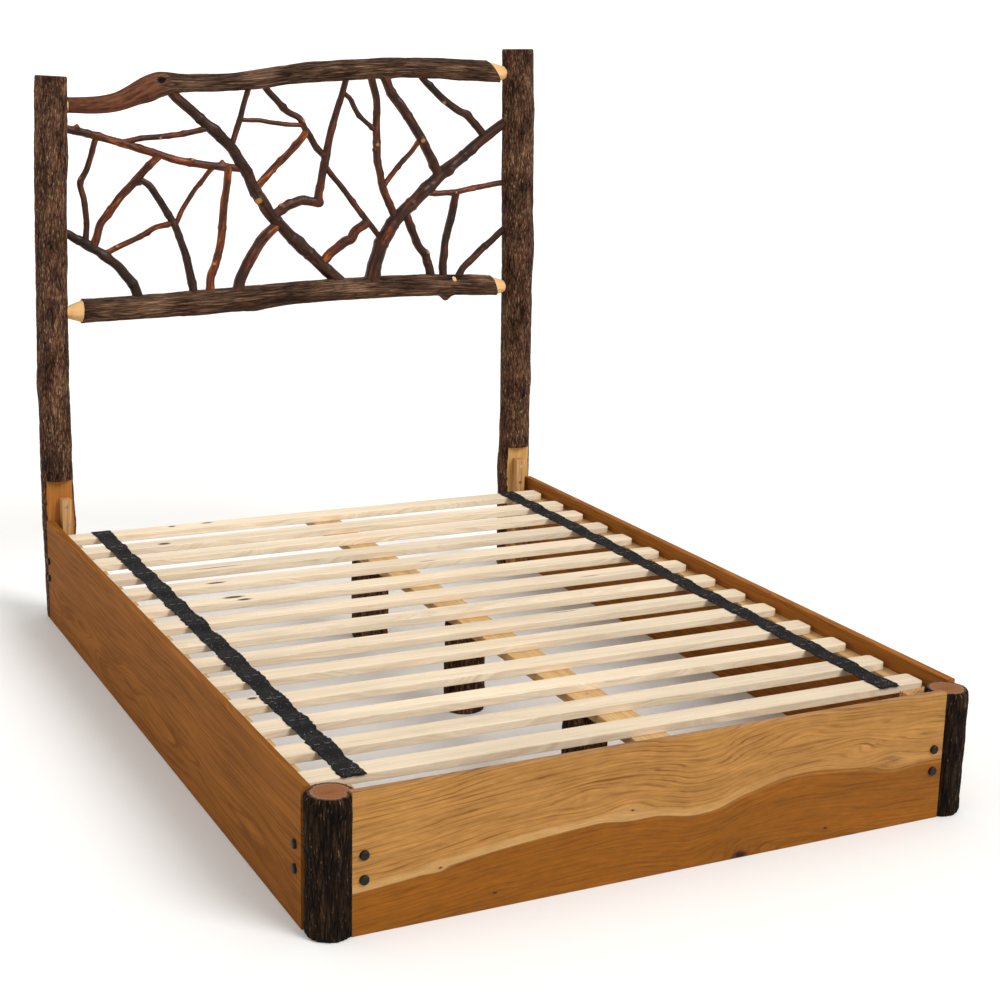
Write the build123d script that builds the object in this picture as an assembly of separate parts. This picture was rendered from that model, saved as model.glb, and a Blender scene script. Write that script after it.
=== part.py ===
from build123d import *
import os
from math import pi, sin

# Rustic log bed for a full-size mattress: two hickory head posts with a twig panel between them,
# plank side rails and foot panel, two short foot logs, and a strapped roll of slats.
# Millimetres, +Z up, +Y towards the head, -X is the left side seen from the foot.
# The origin is on the floor, in the middle of the footprint.

# ---- mattress and plank box -------------------------------------------------------------------
mattress_width = 1346.0
mattress_length = 1905.0
mattress_side_play = 13.0      # free space on each side of the mattress
mattress_end_play = 25.0       # free space in the length
board_thickness = 19.0         # side rails and foot panel
board_height = 267.0
board_edge_round = 2.0
rail_front_setback = 61.0      # foot panel's face to the front end of a side rail
panel_end_setback = 70.5       # side rail's outer face to the end of the foot panel

# ---- head posts: left, right ------------------------------------------------------------------
post_radius = {"left": 38.0, "right": 42.5}
post_height = {"left": 1390.0, "right": 1476.0}
post_flat_height = {"left": 372.0, "right": 357.0}
post_flat_offset = {"left": 22.0, "right": 29.0}   # post's axis to the flat that the rail butts on
post_top_taper = 3.0           # how much thinner a post is at its top
post_lean = 19.0               # how far it leans inward at the height below
post_lean_height = {"left": 1390.0, "right": 1467.0}
post_lean_power = 2.5
post_rim = 3.0                 # bevel round the sawn top
post_stations = 7              # rings that a post is lofted through
post_levels = (0.35, 0.7)      # shares of its height at which its axis is set out
cut_margin = 1.0               # a cutter's reach beyond the face that it opens

# ---- foot posts -------------------------------------------------------------------------------
foot_post_radius = 44.0
foot_post_side_proud = 1.0     # bark beyond the side rail's face
foot_post_front_proud = 10.0   # bark beyond the foot panel's face
foot_post_drop = 5.0           # sawn top below the top of the boards
foot_post_rim = 4.0

# ---- blocks behind the corners ----------------------------------------------------------------
foot_block_side = 86.0         # along the foot panel
foot_block_back = 83.0         # along the side rail
foot_block_drop = 26.0         # its top below the top of the boards
head_block_width = 25.0        # the upright tongue that shows above the slats
head_block_inset = 16.0        # tongue to the side rail
head_block_depth = 28.0
head_block_height = 325.0
head_block_shoulder = 70.0     # shoulder below the top of the boards
head_block_screw_rises = (-9.0, 38.0)   # its screws above the top of the boards
block_floor_gap = 12.0

# ---- slats, straps, cleats, centre beam -------------------------------------------------------
slat_count = 14
slat_width = 55.0
slat_thickness = 17.0
slat_pitch = 130.5
slat_round = 1.5
slat_drop = 21.0               # top of the slats below the top of the boards
first_slat_setback = 79.0      # head plane to the back edge of the first slat
# how far the strapping left each slat off its even pitch, head to foot
slat_stray = (0, -4, 13, 6, 8, 2, 2, -2, -2, 5, -2, -2, -3, 0)
strap_width = 42.0
strap_thickness = 1.8
strap_inset = 88.0             # slat's end to the middle of the strap
strap_sag = 5.0                # dip between two slats
strap_overhang = 5.0           # beyond the last slat
staple_crown = 11.0
staple_wire = 1.1
staple_leg = 11.0
staple_spread = 20.0           # between the two staples of one crossing
staple_clearance = 0.1
cleat_width = 38.0
cleat_thickness = 19.0
beam_width = 76.0
beam_thickness = 19.0
beam_offset = 18.0             # to the right of the middle
beam_head_gap = 40.0           # head plane to the end of the beam
leg_radius = 48.0
leg_count = 3
leg_first = 440.0              # head plane to the axis of the first leg
leg_pitch = 573.0
leg_rim = 3.0

# ---- fasteners --------------------------------------------------------------------------------
bolt_head_radius = 9.0
bolt_head_height = 6.0
bolt_head_round = 3.6
bolt_shank_radius = 4.0
bolt_length = 52.0
bolt_heights = (104.0, 150.0)  # at the foot end
bolt_heights_head = (117.0, 162.0)
bolt_end_distance = 22.0       # foot panel's end to its bolts
bolt_front_distance = 29.0     # side rail's front end to its bolts
bolt_head_distance = 15.0      # side rail's head end to its bolts
screw_head_radius = 4.5
screw_head_height = 3.0
screw_shank_radius = 2.2
screw_length = 50.0
cleat_screws = 6
fastener_clearance = 0.2
scribe_gap = 0.3               # between a round log and the block scribed to it
brad_radius = 0.8
brad_length = 24.0
brad_back = 20.0               # from the twig's tip to the brad, on the twig's far side
brad_proud = 0.6               # its head beyond the twig's surface

# ---- headboard rails --------------------------------------------------------------------------
top_rail_height = 1370.0
bottom_rail_height = 820.0
tenon_radius = 13.0
tenon_depth = 30.0             # into the post, from its axis-side face
# (place across in thousandths of the panel's width, rise above the rail's height, radius)
top_rail_line = ((50, -49, 19.5), (95, -48, 21), (134, -38, 23), (175, -15, 28), (215, 3, 30), (255, 7, 24),
                 (337, 9, 22.5), (420, 19, 25), (505, 34, 25.5), (592, 43, 27), (680, 51, 26.5),
                 (770, 53, 27), (862, 50, 29), (915, 48, 29))
bottom_rail_line = ((52, -15, 31), (173, -11, 31), (275, -7, 33), (390, 0, 32), (503, 9, 30), (590, 13, 29),
                    (680, 15, 30), (770, 15, 30), (863, 12, 29), (915, 8, 28))

# ---- twigs ------------------------------------------------------------------------------------
panel_wave = 9.0               # how far the twigs wander in front of and behind the rails
panel_wave_count = 5.0
twig_extra_rings = 2           # rings that a twig is lofted through, beyond its route's points
rail_extra_rings = 3
# each twig: the twigs that it is scribed to, its radius at the start and the end, and its route as
# (across, up) in thousandths of the panel, measured between the axes of the posts and rails.
# A route that starts or ends at 0 or 1000 runs into a socket in that post or rail.
twigs = {
    "twig_01": (("twig_02",), (10, 10),
                ((0, 905), (55, 873), (95, 845), (173, 741), (212, 690), (252, 655), (300, 634), (385, 601))),
    "twig_02": ((), (13, 18),
                ((228, 1000), (241, 950), (272, 886), (330, 768), (355, 712), (376, 635), (394, 568),
                 (406, 502), (437, 392), (480, 278), (520, 189), (562, 95), (606, 0))),
    "twig_03": (("twig_01", "twig_02"), (7.5, 7.5),
                ((130, 802), (174, 787), (213, 769), (253, 773), (316, 800))),
    "twig_04": (("twig_01", "twig_07"), (7.8, 7.8),
                ((88, 850), (78, 760), (70, 696), (57, 635), (66, 494), (68, 421), (66, 335))),
    "twig_05": (("twig_01", "twig_07"), (10, 10.5),
                ((212, 686), (190, 652), (165, 600), (133, 537), (115, 483), (96, 426), (81, 316))),
    "twig_06": (("twig_05",), (8.5, 11.5),
                ((168, 610), (191, 562), (211, 485), (241, 361), (262, 225), (277, 70), (281, 0))),
    "twig_07": ((), (10.5, 13.5),
                ((0, 404), (33, 378), (54, 347), (91, 287), (129, 205), (156, 115), (175, 0))),
    "twig_08": (("twig_07", "twig_06"), (7.4, 7.4),
                ((98, 270), (125, 297), (164, 327), (202, 364), (238, 380))),
    "twig_09": (("twig_01", "twig_06"), (6.4, 6.4),
                ((322, 628), (295, 560), (272, 494), (254, 428), (241, 364))),
    "twig_10": (("twig_01",), (9.7, 11.5),
                ((351, 620), (346, 512), (340, 422), (334, 270), (325, 188), (315, 130), (311, 0))),
    "twig_11": (("twig_02",), (7.5, 7.5),
                ((401, 1000), (384, 890), (369, 782), (357, 705))),
    "twig_12": (("twig_11", "twig_13"), (6, 6),
                ((377, 826), (423, 812), (455, 792), (484, 777), (514, 766))),
    "twig_13": (("twig_14",), (8.7, 8.7),
                ((417, 1000), (436, 942), (473, 848), (505, 799), (525, 722), (539, 668), (562, 610))),
    "twig_14": (("twig_02",), (8, 13.5),
                ((611, 1000), (595, 891), (573, 736), (558, 580), (550, 491), (542, 418), (508, 426),
                 (478, 408), (446, 370))),
    "twig_15": (("twig_13", "twig_02"), (9.3, 9.8),
                ((521, 742), (497, 680), (463, 614), (439, 568), (406, 496))),
    "twig_16": (("twig_14", "twig_17"), (8, 8),
                ((556, 588), (578, 520), (600, 458), (644, 327), (686, 208))),
    "twig_17": ((), (13.2, 21),
                ((1000, 800), (961, 752), (915, 681), (869, 598), (817, 514), (772, 427), (735, 358),
                 (709, 303), (681, 206), (667, 110), (660, 0))),
    "twig_18": (("twig_02",), (13.5, 16),
                ((462, 338), (427, 276), (406, 214), (389, 153), (375, 88), (366, 0))),
    "twig_19": (("twig_02", "twig_16"), (12.5, 13),
                ((548, 118), (572, 175), (597, 216), (614, 232), (624, 268), (652, 310))),
    "twig_20": (("twig_14", "twig_21"), (6.7, 6.7),
                ((597, 906), (612, 875), (627, 812), (638, 781), (673, 712))),
    "twig_21": (("twig_17",), (10.2, 10.6),
                ((657, 1000), (671, 860), (670, 680), (671, 590), (683, 462), (713, 312))),
    "twig_22": (("twig_17",), (13.3, 13.3),
                ((681, 1000), (704, 891), (746, 767), (773, 680), (800, 575), (815, 509))),
    "twig_23": (("twig_22", "twig_21"), (7.1, 7.1),
                ((773, 686), (749, 624), (725, 575), (706, 528), (682, 462))),
    "twig_24": (("twig_17",), (9, 11.3),
                ((762, 1000), (777, 951), (818, 873), (852, 824), (879, 797), (903, 748), (925, 696))),
    "twig_25": (("twig_17",), (8, 8),
                ((775, 433), (817, 431), (846, 434), (901, 459), (962, 482), (1000, 488))),
    "twig_26": (("twig_25",), (10.8, 11.3),
                ((857, 437), (847, 343), (837, 268), (829, 198), (824, 100), (825, 0))),
    "twig_27": (("twig_17",), (10.4, 12.8),
                ((733, 354), (750, 262), (762, 202), (783, 143), (791, 90), (801, 0))),
    "twig_28": ((), (9.8, 9.8),
                ((1000, 315), (960, 250), (917, 172), (871, 78), (848, 0))),
}

# ---- places worked out from the sizes above ---------------------------------------------------
bed_half = mattress_width / 2 + mattress_side_play + board_thickness
rail_inner = bed_half - board_thickness
clear_length = mattress_length + mattress_end_play
front_reach = clear_length + board_thickness + foot_post_front_proud
back_reach = max(post_flat_offset[s] + post_radius[s] for s in post_radius)
head_y = (front_reach - back_reach) / 2
foot_inner_y = head_y - clear_length
foot_face_y = foot_inner_y - board_thickness
rail_front_y = foot_face_y + rail_front_setback
panel_half = bed_half - panel_end_setback
foot_post_x = bed_half - foot_post_radius + foot_post_side_proud
foot_post_y = foot_face_y + foot_post_radius - foot_post_front_proud
slat_top = board_height - slat_drop
slat_bottom = slat_top - slat_thickness
slat_half = mattress_width / 2
strap_x = slat_half - strap_inset
side_sign = {"left": -1, "right": 1}


def box(x, y, z):
    """A block between two values on each axis."""
    size = (x[1] - x[0], y[1] - y[0], z[1] - z[0])
    return Pos((x[0] + x[1]) / 2, (y[0] + y[1]) / 2, (z[0] + z[1]) / 2) * Box(*size)


def rod(start, direction, radius, length):
    """A round bar from a point along a direction."""
    return extrude(Plane(origin=start, z_dir=direction) * Circle(radius), length)


def at_step(values, t):
    """Value at t (0 to 1) in a list of values spaced evenly along a length."""
    place = t * (len(values) - 1)
    low = min(int(place), len(values) - 2)
    return values[low] + (values[low + 1] - values[low]) * (place - low)


def along_line(line, across, column):
    """Rise (column 1) or radius (column 2) of a rail's line at a place across the panel."""
    for before, after in zip(line, line[1:]):
        if across <= after[0]:
            share = max(across - before[0], 0) / (after[0] - before[0])
            return before[column] + (after[column] - before[column]) * share
    return line[-1][column]


def log(points, radii, across, stations):
    """A log or twig: circles of changing radius, lofted along a smooth line."""
    route = Spline(*points)
    rings = []
    for i in range(stations):
        t = i / (stations - 1)
        plane = Plane(origin=route.position_at(t), x_dir=across, z_dir=route.tangent_at(t))
        rings.append(plane * Circle(at_step(radii, t)))
    return loft(rings)


# ---- headboard geometry -----------------------------------------------------------------------
def post_axis(side, z):
    """Point on a head post's axis: upright low down, leaning inward towards the top."""
    lean = post_lean * (z / post_lean_height[side]) ** post_lean_power
    x = side_sign[side] * (bed_half - post_radius[side] - lean)
    return Vector(x, head_y + post_flat_offset[side], z)


def panel_point(across, up):
    """Point of the twig panel, in thousandths between the posts and between the rails."""
    low = bottom_rail_height + along_line(bottom_rail_line, across, 1)
    high = top_rail_height + along_line(top_rail_line, across, 1)
    z = low + (high - low) * up / 1000
    left, right = post_axis("left", z), post_axis("right", z)
    spot = left + (right - left) * (across / 1000)
    wave = panel_wave * sin(pi * panel_wave_count * across / 1000) * sin(pi * up / 1000)
    return spot + Vector(0, wave, 0)


def twig_solid(name):
    mates, radii, route = twigs[name]
    points = [panel_point(u, v) for u, v in route]
    return log(points, radii, (0, 1, 0), len(route) + twig_extra_rings)


def head_post(side):
    top = post_height[side]
    levels = (0, *(share * top for share in post_levels), top)
    radii = (post_radius[side], post_radius[side], post_radius[side] - post_top_taper)
    post = log([post_axis(side, z) for z in levels], radii, (1, 0, 0), post_stations)
    post = chamfer(post.edges().sort_by(Axis.Z)[-1], post_rim)
    reach = 2 * post_radius[side]
    x = side_sign[side] * bed_half
    return post - box((x - 2 * reach, x + 2 * reach), (head_y - reach, head_y),
                      (-cut_margin, post_flat_height[side]))


def head_rail(line, up):
    """A headboard rail: the barked log, a whittled cone at each end and the tenon in the post."""
    points = [panel_point(across, up) for across, rise, radius in line]
    radii = [radius for across, rise, radius in line]
    rail = log(points, radii, (0, 1, 0), len(line) + rail_extra_rings)
    route = Spline(*points)
    for side, end, outward, radius in (("left", points[0], -route.tangent_at(0), radii[0]),
                                       ("right", points[-1], route.tangent_at(1), radii[-1])):
        cone_length = (post_axis(side, end.Z) - end).length - post_radius[side]
        mouth = end + outward * cone_length
        cone = loft([Plane(origin=end, z_dir=outward) * Circle(radius),
                     Plane(origin=mouth, z_dir=outward) * Circle(tenon_radius)])
        rail += cone + rod(mouth, outward, tenon_radius, tenon_depth)
    return rail


# ---- fasteners: holes are cut with the same places and a clearance ---------------------------
def bolt(spot, direction, grow=0.0):
    """A dome-headed bolt; spot is on the board's face, direction points into the board."""
    shank = rod(spot, direction, bolt_shank_radius + grow, bolt_length + grow)
    if grow:
        return shank
    head = rod(spot, -direction, bolt_head_radius, bolt_head_height)
    rim = head.edges().filter_by(GeomType.CIRCLE).sort_by(lambda e: (e.center() - spot).length)[-1]
    return shank + fillet(rim, bolt_head_round)


def screw(spot, direction, grow=0.0):
    """A countersunk wood screw; spot is the middle of its head, flush with the surface."""
    face = Plane(origin=spot, z_dir=direction)
    neck = Plane(origin=spot + direction * screw_head_height, z_dir=direction)
    head = loft([face * Circle(screw_head_radius + grow), neck * Circle(screw_shank_radius + grow)])
    return head + rod(spot, direction, screw_shank_radius + grow, screw_length + grow)


def brad(spot, direction, grow=0.0):
    """A headless nail driven at a slant from the back of a twig into the one that it meets."""
    return rod(spot, direction, brad_radius + grow, brad_length + grow)


bolt_spots = []
for sign in (-1, 1):
    inward = Vector(-sign, 0, 0)
    for z in bolt_heights:
        bolt_spots.append((Vector(sign * (panel_half - bolt_end_distance), foot_face_y, z), Vector(0, 1, 0)))
        bolt_spots.append((Vector(sign * bed_half, rail_front_y + bolt_front_distance, z), inward))
    for z in bolt_heights_head:
        bolt_spots.append((Vector(sign * bed_half, head_y - bolt_head_distance, z), inward))

cleat_span = (foot_inner_y + foot_block_back, head_y - head_block_depth)
cleat_inner = rail_inner - cleat_width
cleat_screw_y = [cleat_span[0] + (cleat_span[1] - cleat_span[0]) * (i + 0.5) / cleat_screws
                 for i in range(cleat_screws)]
leg_y = [head_y - leg_first - leg_pitch * i for i in range(leg_count)]
head_block_inner = rail_inner - head_block_inset - head_block_width
head_block_middle = head_block_inner + head_block_width / 2
head_block_screw_z = [board_height + rise for rise in head_block_screw_rises]

screw_spots = [(Vector(beam_offset, y, slat_bottom), Vector(0, 0, -1)) for y in leg_y]
for sign in (-1, 1):
    z = slat_bottom - cleat_thickness / 2
    screw_spots += [(Vector(sign * cleat_inner, y, z), Vector(sign, 0, 0)) for y in cleat_screw_y]
    screw_spots += [(Vector(sign * head_block_middle, head_y - head_block_depth, z), Vector(0, 1, 0))
                    for z in head_block_screw_z]

brad_spots = []
for mates, radii, route in twigs.values():
    for tip, inner, radius in ((route[0], route[1], radii[0]), (route[-1], route[-2], radii[-1])):
        if 0 not in tip and 1000 not in tip:
            point = panel_point(*tip)
            along = (point - panel_point(*inner)).normalized()
            start = point - along * brad_back + Vector(0, radius + brad_proud, 0)
            brad_spots.append((start, (point - start).normalized()))


def drilled(solid):
    """The solid with a clearance hole for each bolt, screw and brad that passes through it."""
    bounds = solid.bounding_box()
    for make, spots, reach in ((bolt, bolt_spots, bolt_length), (screw, screw_spots, screw_length),
                               (brad, brad_spots, brad_length)):
        for spot, direction in spots:
            ends = (spot, spot + direction * reach)
            low = [min(getattr(e, a) for e in ends) for a in "XYZ"]
            high = [max(getattr(e, a) for e in ends) for a in "XYZ"]
            if all(h >= b0 and l <= b1 for l, h, b0, b1 in zip(low, high, bounds.min, bounds.max)):
                solid -= make(spot, direction, fastener_clearance)
    return solid


# ---- foot end and side boards -----------------------------------------------------------------
def side_rail(sign):
    inner, outer = sorted((sign * rail_inner, sign * bed_half))
    rail = box((inner, outer), (rail_front_y, head_y), (0, board_height))
    return fillet(rail.edges().filter_by(Axis.Y), board_edge_round)


def foot_panel():
    panel = box((-panel_half, panel_half), (foot_face_y, foot_inner_y), (0, board_height))
    return fillet(panel.edges().filter_by(Axis.X), board_edge_round)


def foot_log(sign, grow=0.0):
    return Pos(sign * foot_post_x, foot_post_y) * Cylinder(
        foot_post_radius + grow, board_height - foot_post_drop, align=(Align.CENTER, Align.CENTER, Align.MIN))


def foot_post(sign):
    post = foot_log(sign)
    post = chamfer(post.edges().filter_by(GeomType.CIRCLE), foot_post_rim)
    reach = 3 * foot_post_radius
    panel_end = sorted((sign * panel_half, sign * (panel_half - reach)))
    rail_side = sorted((sign * rail_inner, sign * (rail_inner + reach)))
    post -= box(panel_end, (foot_inner_y - reach, foot_inner_y), (-cut_margin, board_height))
    return post - box(rail_side, (rail_front_y, rail_front_y + reach), (-cut_margin, board_height))


def foot_block(sign):
    x = sorted((sign * rail_inner, sign * (rail_inner - foot_block_side)))
    block = box(x, (foot_inner_y, foot_inner_y + foot_block_back),
                (block_floor_gap, board_height - foot_block_drop))
    return block - foot_log(sign, scribe_gap)


def head_block(sign):
    """The block on a head post's flat: wide below the slats, a narrow tongue above them."""
    depth = (head_y - head_block_depth, head_y)
    tongue = sorted((sign * head_block_inner, sign * (head_block_inner + head_block_width)))
    base = sorted((sign * head_block_inner, sign * rail_inner))
    return (box(tongue, depth, (block_floor_gap, head_block_height))
            + box(base, depth, (block_floor_gap, board_height - head_block_shoulder)))


# ---- slat base --------------------------------------------------------------------------------
def slat_front(i):
    return head_y - first_slat_setback - slat_width - slat_pitch * i + slat_stray[i % len(slat_stray)]


def staple(x, y, grow=0.0):
    """A wire staple across the webbing, its legs in the slat."""
    top = slat_top + strap_thickness
    half = staple_wire / 2 + grow
    crown = box((x - staple_crown / 2, x + staple_crown / 2), (y - half, y + half), (top, top + staple_wire))
    for end in (-1, 1):
        leg_x = x + end * (staple_crown - staple_wire) / 2
        crown += box((leg_x - half, leg_x + half), (y - half, y + half), (top - staple_leg - grow, top))
    return crown


def staple_pair(i, sign, grow=0.0):
    """The two staples that hold a strap on one slat."""
    y = slat_front(i) + slat_width / 2
    return [staple(sign * strap_x + end * staple_spread / 2, y, grow) for end in (-1, 1)]


def slat(i):
    body = box((-slat_half, slat_half), (slat_front(i), slat_front(i) + slat_width), (slat_bottom, slat_top))
    body = fillet(body.edges().filter_by(Axis.X), slat_round)
    for sign in (-1, 1):
        for wire in staple_pair(i, sign, staple_clearance):
            body -= wire
    return body


def strap(sign):
    """Webbing laid over the slats, dipping a little in each gap."""
    far = slat_front(0) + slat_width
    near = slat_front(slat_count - 1) - strap_overhang

    def edge_line(z):
        pieces = []
        y = far
        for i in range(slat_count):
            pieces.append(Line((0, y, z), (0, slat_front(i), z)))
            if i < slat_count - 1:
                y = slat_front(i + 1) + slat_width
                dip = (0, (slat_front(i) + y) / 2, z - strap_sag)
                pieces.append(ThreePointArc((0, slat_front(i), z), dip, (0, y, z)))
        pieces.append(Line((0, slat_front(slat_count - 1), z), (0, near, z)))
        return pieces

    low, high = slat_top, slat_top + strap_thickness
    outline = edge_line(low) + edge_line(high) + [Line((0, far, low), (0, far, high)),
                                                  Line((0, near, low), (0, near, high))]
    profile = make_face(Wire(outline))
    webbing = Pos(sign * strap_x - strap_width / 2, 0, 0) * extrude(profile, strap_width, dir=(1, 0, 0))
    for i in range(slat_count):
        for wire in staple_pair(i, sign, staple_clearance):
            webbing -= wire
    return webbing


def leg(y):
    height = slat_bottom - beam_thickness
    post = Pos(beam_offset, y) * Cylinder(leg_radius, height, align=(Align.CENTER, Align.CENTER, Align.MIN))
    return chamfer(post.edges().filter_by(GeomType.CIRCLE), leg_rim)


# ---- assembly ---------------------------------------------------------------------------------
nodes = {}

raw_twigs = {name: twig_solid(name) for name in twigs}
logs = {
    "head_post_left": head_post("left"),
    "head_post_right": head_post("right"),
    "head_rail_top": head_rail(top_rail_line, 1000),
    "head_rail_bottom": head_rail(bottom_rail_line, 0),
}
for rail in ("head_rail_top", "head_rail_bottom"):
    for post in ("head_post_left", "head_post_right"):
        logs[post] -= logs[rail]

for name, (mates, radii, route) in twigs.items():
    solid = raw_twigs[name]
    for mate in mates:
        solid -= raw_twigs[mate]
    nodes[name] = drilled(solid.solids().sort_by(SortBy.VOLUME)[-1])
    for across, up in (route[0], route[-1]):
        if up in (0, 1000):
            logs["head_rail_bottom" if up == 0 else "head_rail_top"] -= raw_twigs[name]
        elif across in (0, 1000):
            logs["head_post_left" if across == 0 else "head_post_right"] -= raw_twigs[name]
for name, solid in logs.items():
    nodes[name] = drilled(solid)

for side, sign in side_sign.items():
    nodes["side_rail_" + side] = drilled(side_rail(sign))
    nodes["foot_post_" + side] = drilled(foot_post(sign))
    nodes["foot_block_" + side] = drilled(foot_block(sign))
    nodes["head_block_" + side] = drilled(head_block(sign))
    cleat_x = sorted((sign * cleat_inner, sign * rail_inner))
    nodes["slat_cleat_" + side] = drilled(box(cleat_x, cleat_span, (slat_bottom - cleat_thickness, slat_bottom)))
    nodes["strap_" + side] = strap(sign)
nodes["foot_panel"] = drilled(foot_panel())
nodes["centre_beam"] = drilled(
    box((beam_offset - beam_width / 2, beam_offset + beam_width / 2), (foot_inner_y, head_y - beam_head_gap),
        (slat_bottom - beam_thickness, slat_bottom)))
for i, y in enumerate(leg_y):
    nodes["centre_leg_%d" % (i + 1)] = drilled(leg(y))
nodes["slats"] = Compound([slat(i) for i in range(slat_count)])
nodes["bolts"] = Compound([bolt(spot, direction) for spot, direction in bolt_spots])
nodes["wood_screws"] = Compound([screw(spot, direction) for spot, direction in screw_spots])
nodes["twig_brads"] = Compound([brad(spot, direction) for spot, direction in brad_spots])
nodes["strap_staples"] = Compound([wire for i in range(slat_count) for sign in (-1, 1)
                                   for wire in staple_pair(i, sign)])

os.makedirs("parts", exist_ok=True)
for name, solid in nodes.items():
    export_step(solid, "parts/%s.step" % name)
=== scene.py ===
import math
import random

import bpy
import numpy as np
from mathutils import Matrix, Vector, noise


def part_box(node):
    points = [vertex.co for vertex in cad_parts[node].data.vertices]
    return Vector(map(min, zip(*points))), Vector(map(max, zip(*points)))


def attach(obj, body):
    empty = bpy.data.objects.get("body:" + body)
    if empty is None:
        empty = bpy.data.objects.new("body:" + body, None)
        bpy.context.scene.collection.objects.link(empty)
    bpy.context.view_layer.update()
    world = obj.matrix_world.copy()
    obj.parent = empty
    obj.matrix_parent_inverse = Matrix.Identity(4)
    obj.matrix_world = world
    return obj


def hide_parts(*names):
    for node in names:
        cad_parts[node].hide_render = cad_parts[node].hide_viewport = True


bl_info = {
    "name": "Rustic Log Bed",
    "version": (1, 0, 0),
    "blender": (4, 5, 0),
    "location": "View3D > Sidebar > Log Bed",
    "description": "Dresses a log bed's frame with bark, twigs, boards, slats, webbing and hardware",
    "category": "Object",
}

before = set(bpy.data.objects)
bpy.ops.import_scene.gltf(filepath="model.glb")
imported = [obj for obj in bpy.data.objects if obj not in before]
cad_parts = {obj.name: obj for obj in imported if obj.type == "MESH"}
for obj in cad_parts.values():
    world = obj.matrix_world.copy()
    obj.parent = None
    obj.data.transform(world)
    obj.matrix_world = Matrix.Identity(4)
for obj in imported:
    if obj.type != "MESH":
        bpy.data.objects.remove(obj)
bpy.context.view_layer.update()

MM = 0.001
BED = "frame"
ROLL = "slat_roll"
EDGE = 0.15 * MM      # half the gap between the two rings at an edge across a log
CORNER = 0.003        # half the angle between the two points at an edge along a log
WANDER_SEED = 7       # makes the bark's cracks wander the same way in every run
CAP_RINGS = (0.94, 0.75, 0.45, 0.18)    # sizes of the rings that close a log's end, as shares of it
RAIL_OVERRUN = 70 * MM                  # how far a rail's line runs on beyond the last point given
TENON_RADIUS = 15.5 * MM                # a rail's whittled end where it goes into the post

# ---- places read from the frame ---------------------------------------------------------------
rail_low, rail_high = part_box("side_rail_right")
panel_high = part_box("foot_panel")[1]
slats_low, slats_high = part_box("slats")
bed_half = rail_high.x
rail_inner = rail_low.x
head_y = rail_high.y
rail_front_y = rail_low.y
foot_inner_y = panel_high.y


# ---- shared settings --------------------------------------------------------------------------
def length_setting(label, words, millimetres):
    return bpy.props.FloatProperty(name=label, description=words, default=millimetres * MM,
                                   unit="LENGTH")


def linear(hex_code):
    """An sRGB hex value as the linear red, green, blue and alpha that shaders take."""
    channels = [int(hex_code[i:i + 2], 16) / 255 for i in (1, 3, 5)]
    return tuple(c / 12.92 if c <= 0.04045 else ((c + 0.055) / 1.055) ** 2.4 for c in channels) + (1.0,)


def colour_setting(label, words, hex_code):
    return bpy.props.FloatVectorProperty(name=label, description=words, subtype="COLOR", size=4,
                                         min=0.0, max=1.0, default=linear(hex_code))


class LogBedBark(bpy.types.PropertyGroup):
    plate_width: length_setting("Plate width", "Width of one plate of a post's bark", 7.5)
    plate_length: length_setting("Plate length", "Length of one plate of a post's bark", 42)
    post_cracks: length_setting("Post cracks", "Depth of the cracks in a head post's bark", 1.5)
    rail_cracks: length_setting("Rail cracks", "Depth of the cracks in a headboard rail's bark", 1.4)
    foot_cracks: length_setting("Foot post cracks", "Depth of the cracks in a foot post's bark", 2.4)
    # the deep colour fills the bark's cracks: partly the bark's own darker colour, partly painted shade
    bark_deep: colour_setting("Bark, deep", "Bark inside the cracks", "#1D120B")
    bark_body: colour_setting("Bark, body", "Main colour of the bark", "#56392A")
    bark_crest: colour_setting("Bark, crests", "Worn crests of the bark", "#7C5A42")
    lichen: colour_setting("Lichen", "Pale flecks on the bark", "#B5A07C")


class LogBedTwigs(bpy.types.PropertyGroup):
    # its dark colour also paints the shade in the twigs' creases
    twig_dark_and_crease_shade: colour_setting("Twig, dark", "Dark skin and the shaded creases", "#1F140E")
    twig_brown: colour_setting("Twig, brown", "Smooth bark, dull brown", "#3D2417")
    twig_red: colour_setting("Twig, reddish", "Smooth bark with a red cast", "#6A2F14")
    twig_orange: colour_setting("Twig, orange", "Bark rubbed thin", "#A05A26")
    cut_wood: colour_setting("Cut wood", "Wood where a side shoot was cut off", "#A9753C")


class LogBedLumber(bpy.types.PropertyGroup):
    panel_light: colour_setting("Foot panel, light", "Streaked wood of the foot panel", "#A8783E")
    panel_grain: colour_setting("Foot panel, grain", "Latewood lines of the foot panel", "#653A12")
    panel_pale: colour_setting("Foot panel, sapwood", "Plain pale band of the foot panel", "#B68E58")
    panel_heart: colour_setting("Foot panel, heartwood", "Darker wood along the lower edge", "#865010")
    rail_light: colour_setting("Side rails, light", "Wood of the side rails", "#9A6028")
    rail_grain: colour_setting("Side rails, grain", "Grain of the side rails", "#653811")
    slat_light: colour_setting("Slats, light", "Bare wood of the slats", "#E3D2B8")
    slat_grain: colour_setting("Slats, grain", "Grain lines of the slats", "#CBAE89")
    tenon: colour_setting("Whittled wood", "Fresh wood of the tenons", "#E6B981")
    end_grain: colour_setting("End grain", "Sawn ends of the logs", "#895225")


class LogBedWebbing(bpy.types.PropertyGroup):
    webbing_black: colour_setting("Webbing", "Colour of the woven straps", "#0F0D0E")
    webbing_sheen: bpy.props.FloatProperty(name="Webbing sheen", description="Soft shine of the yarn",
                                           default=0.02, min=0.0, max=1.0, subtype="FACTOR")
    thread: length_setting("Thread", "Width of one cord of the weave", 2.0)


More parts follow.
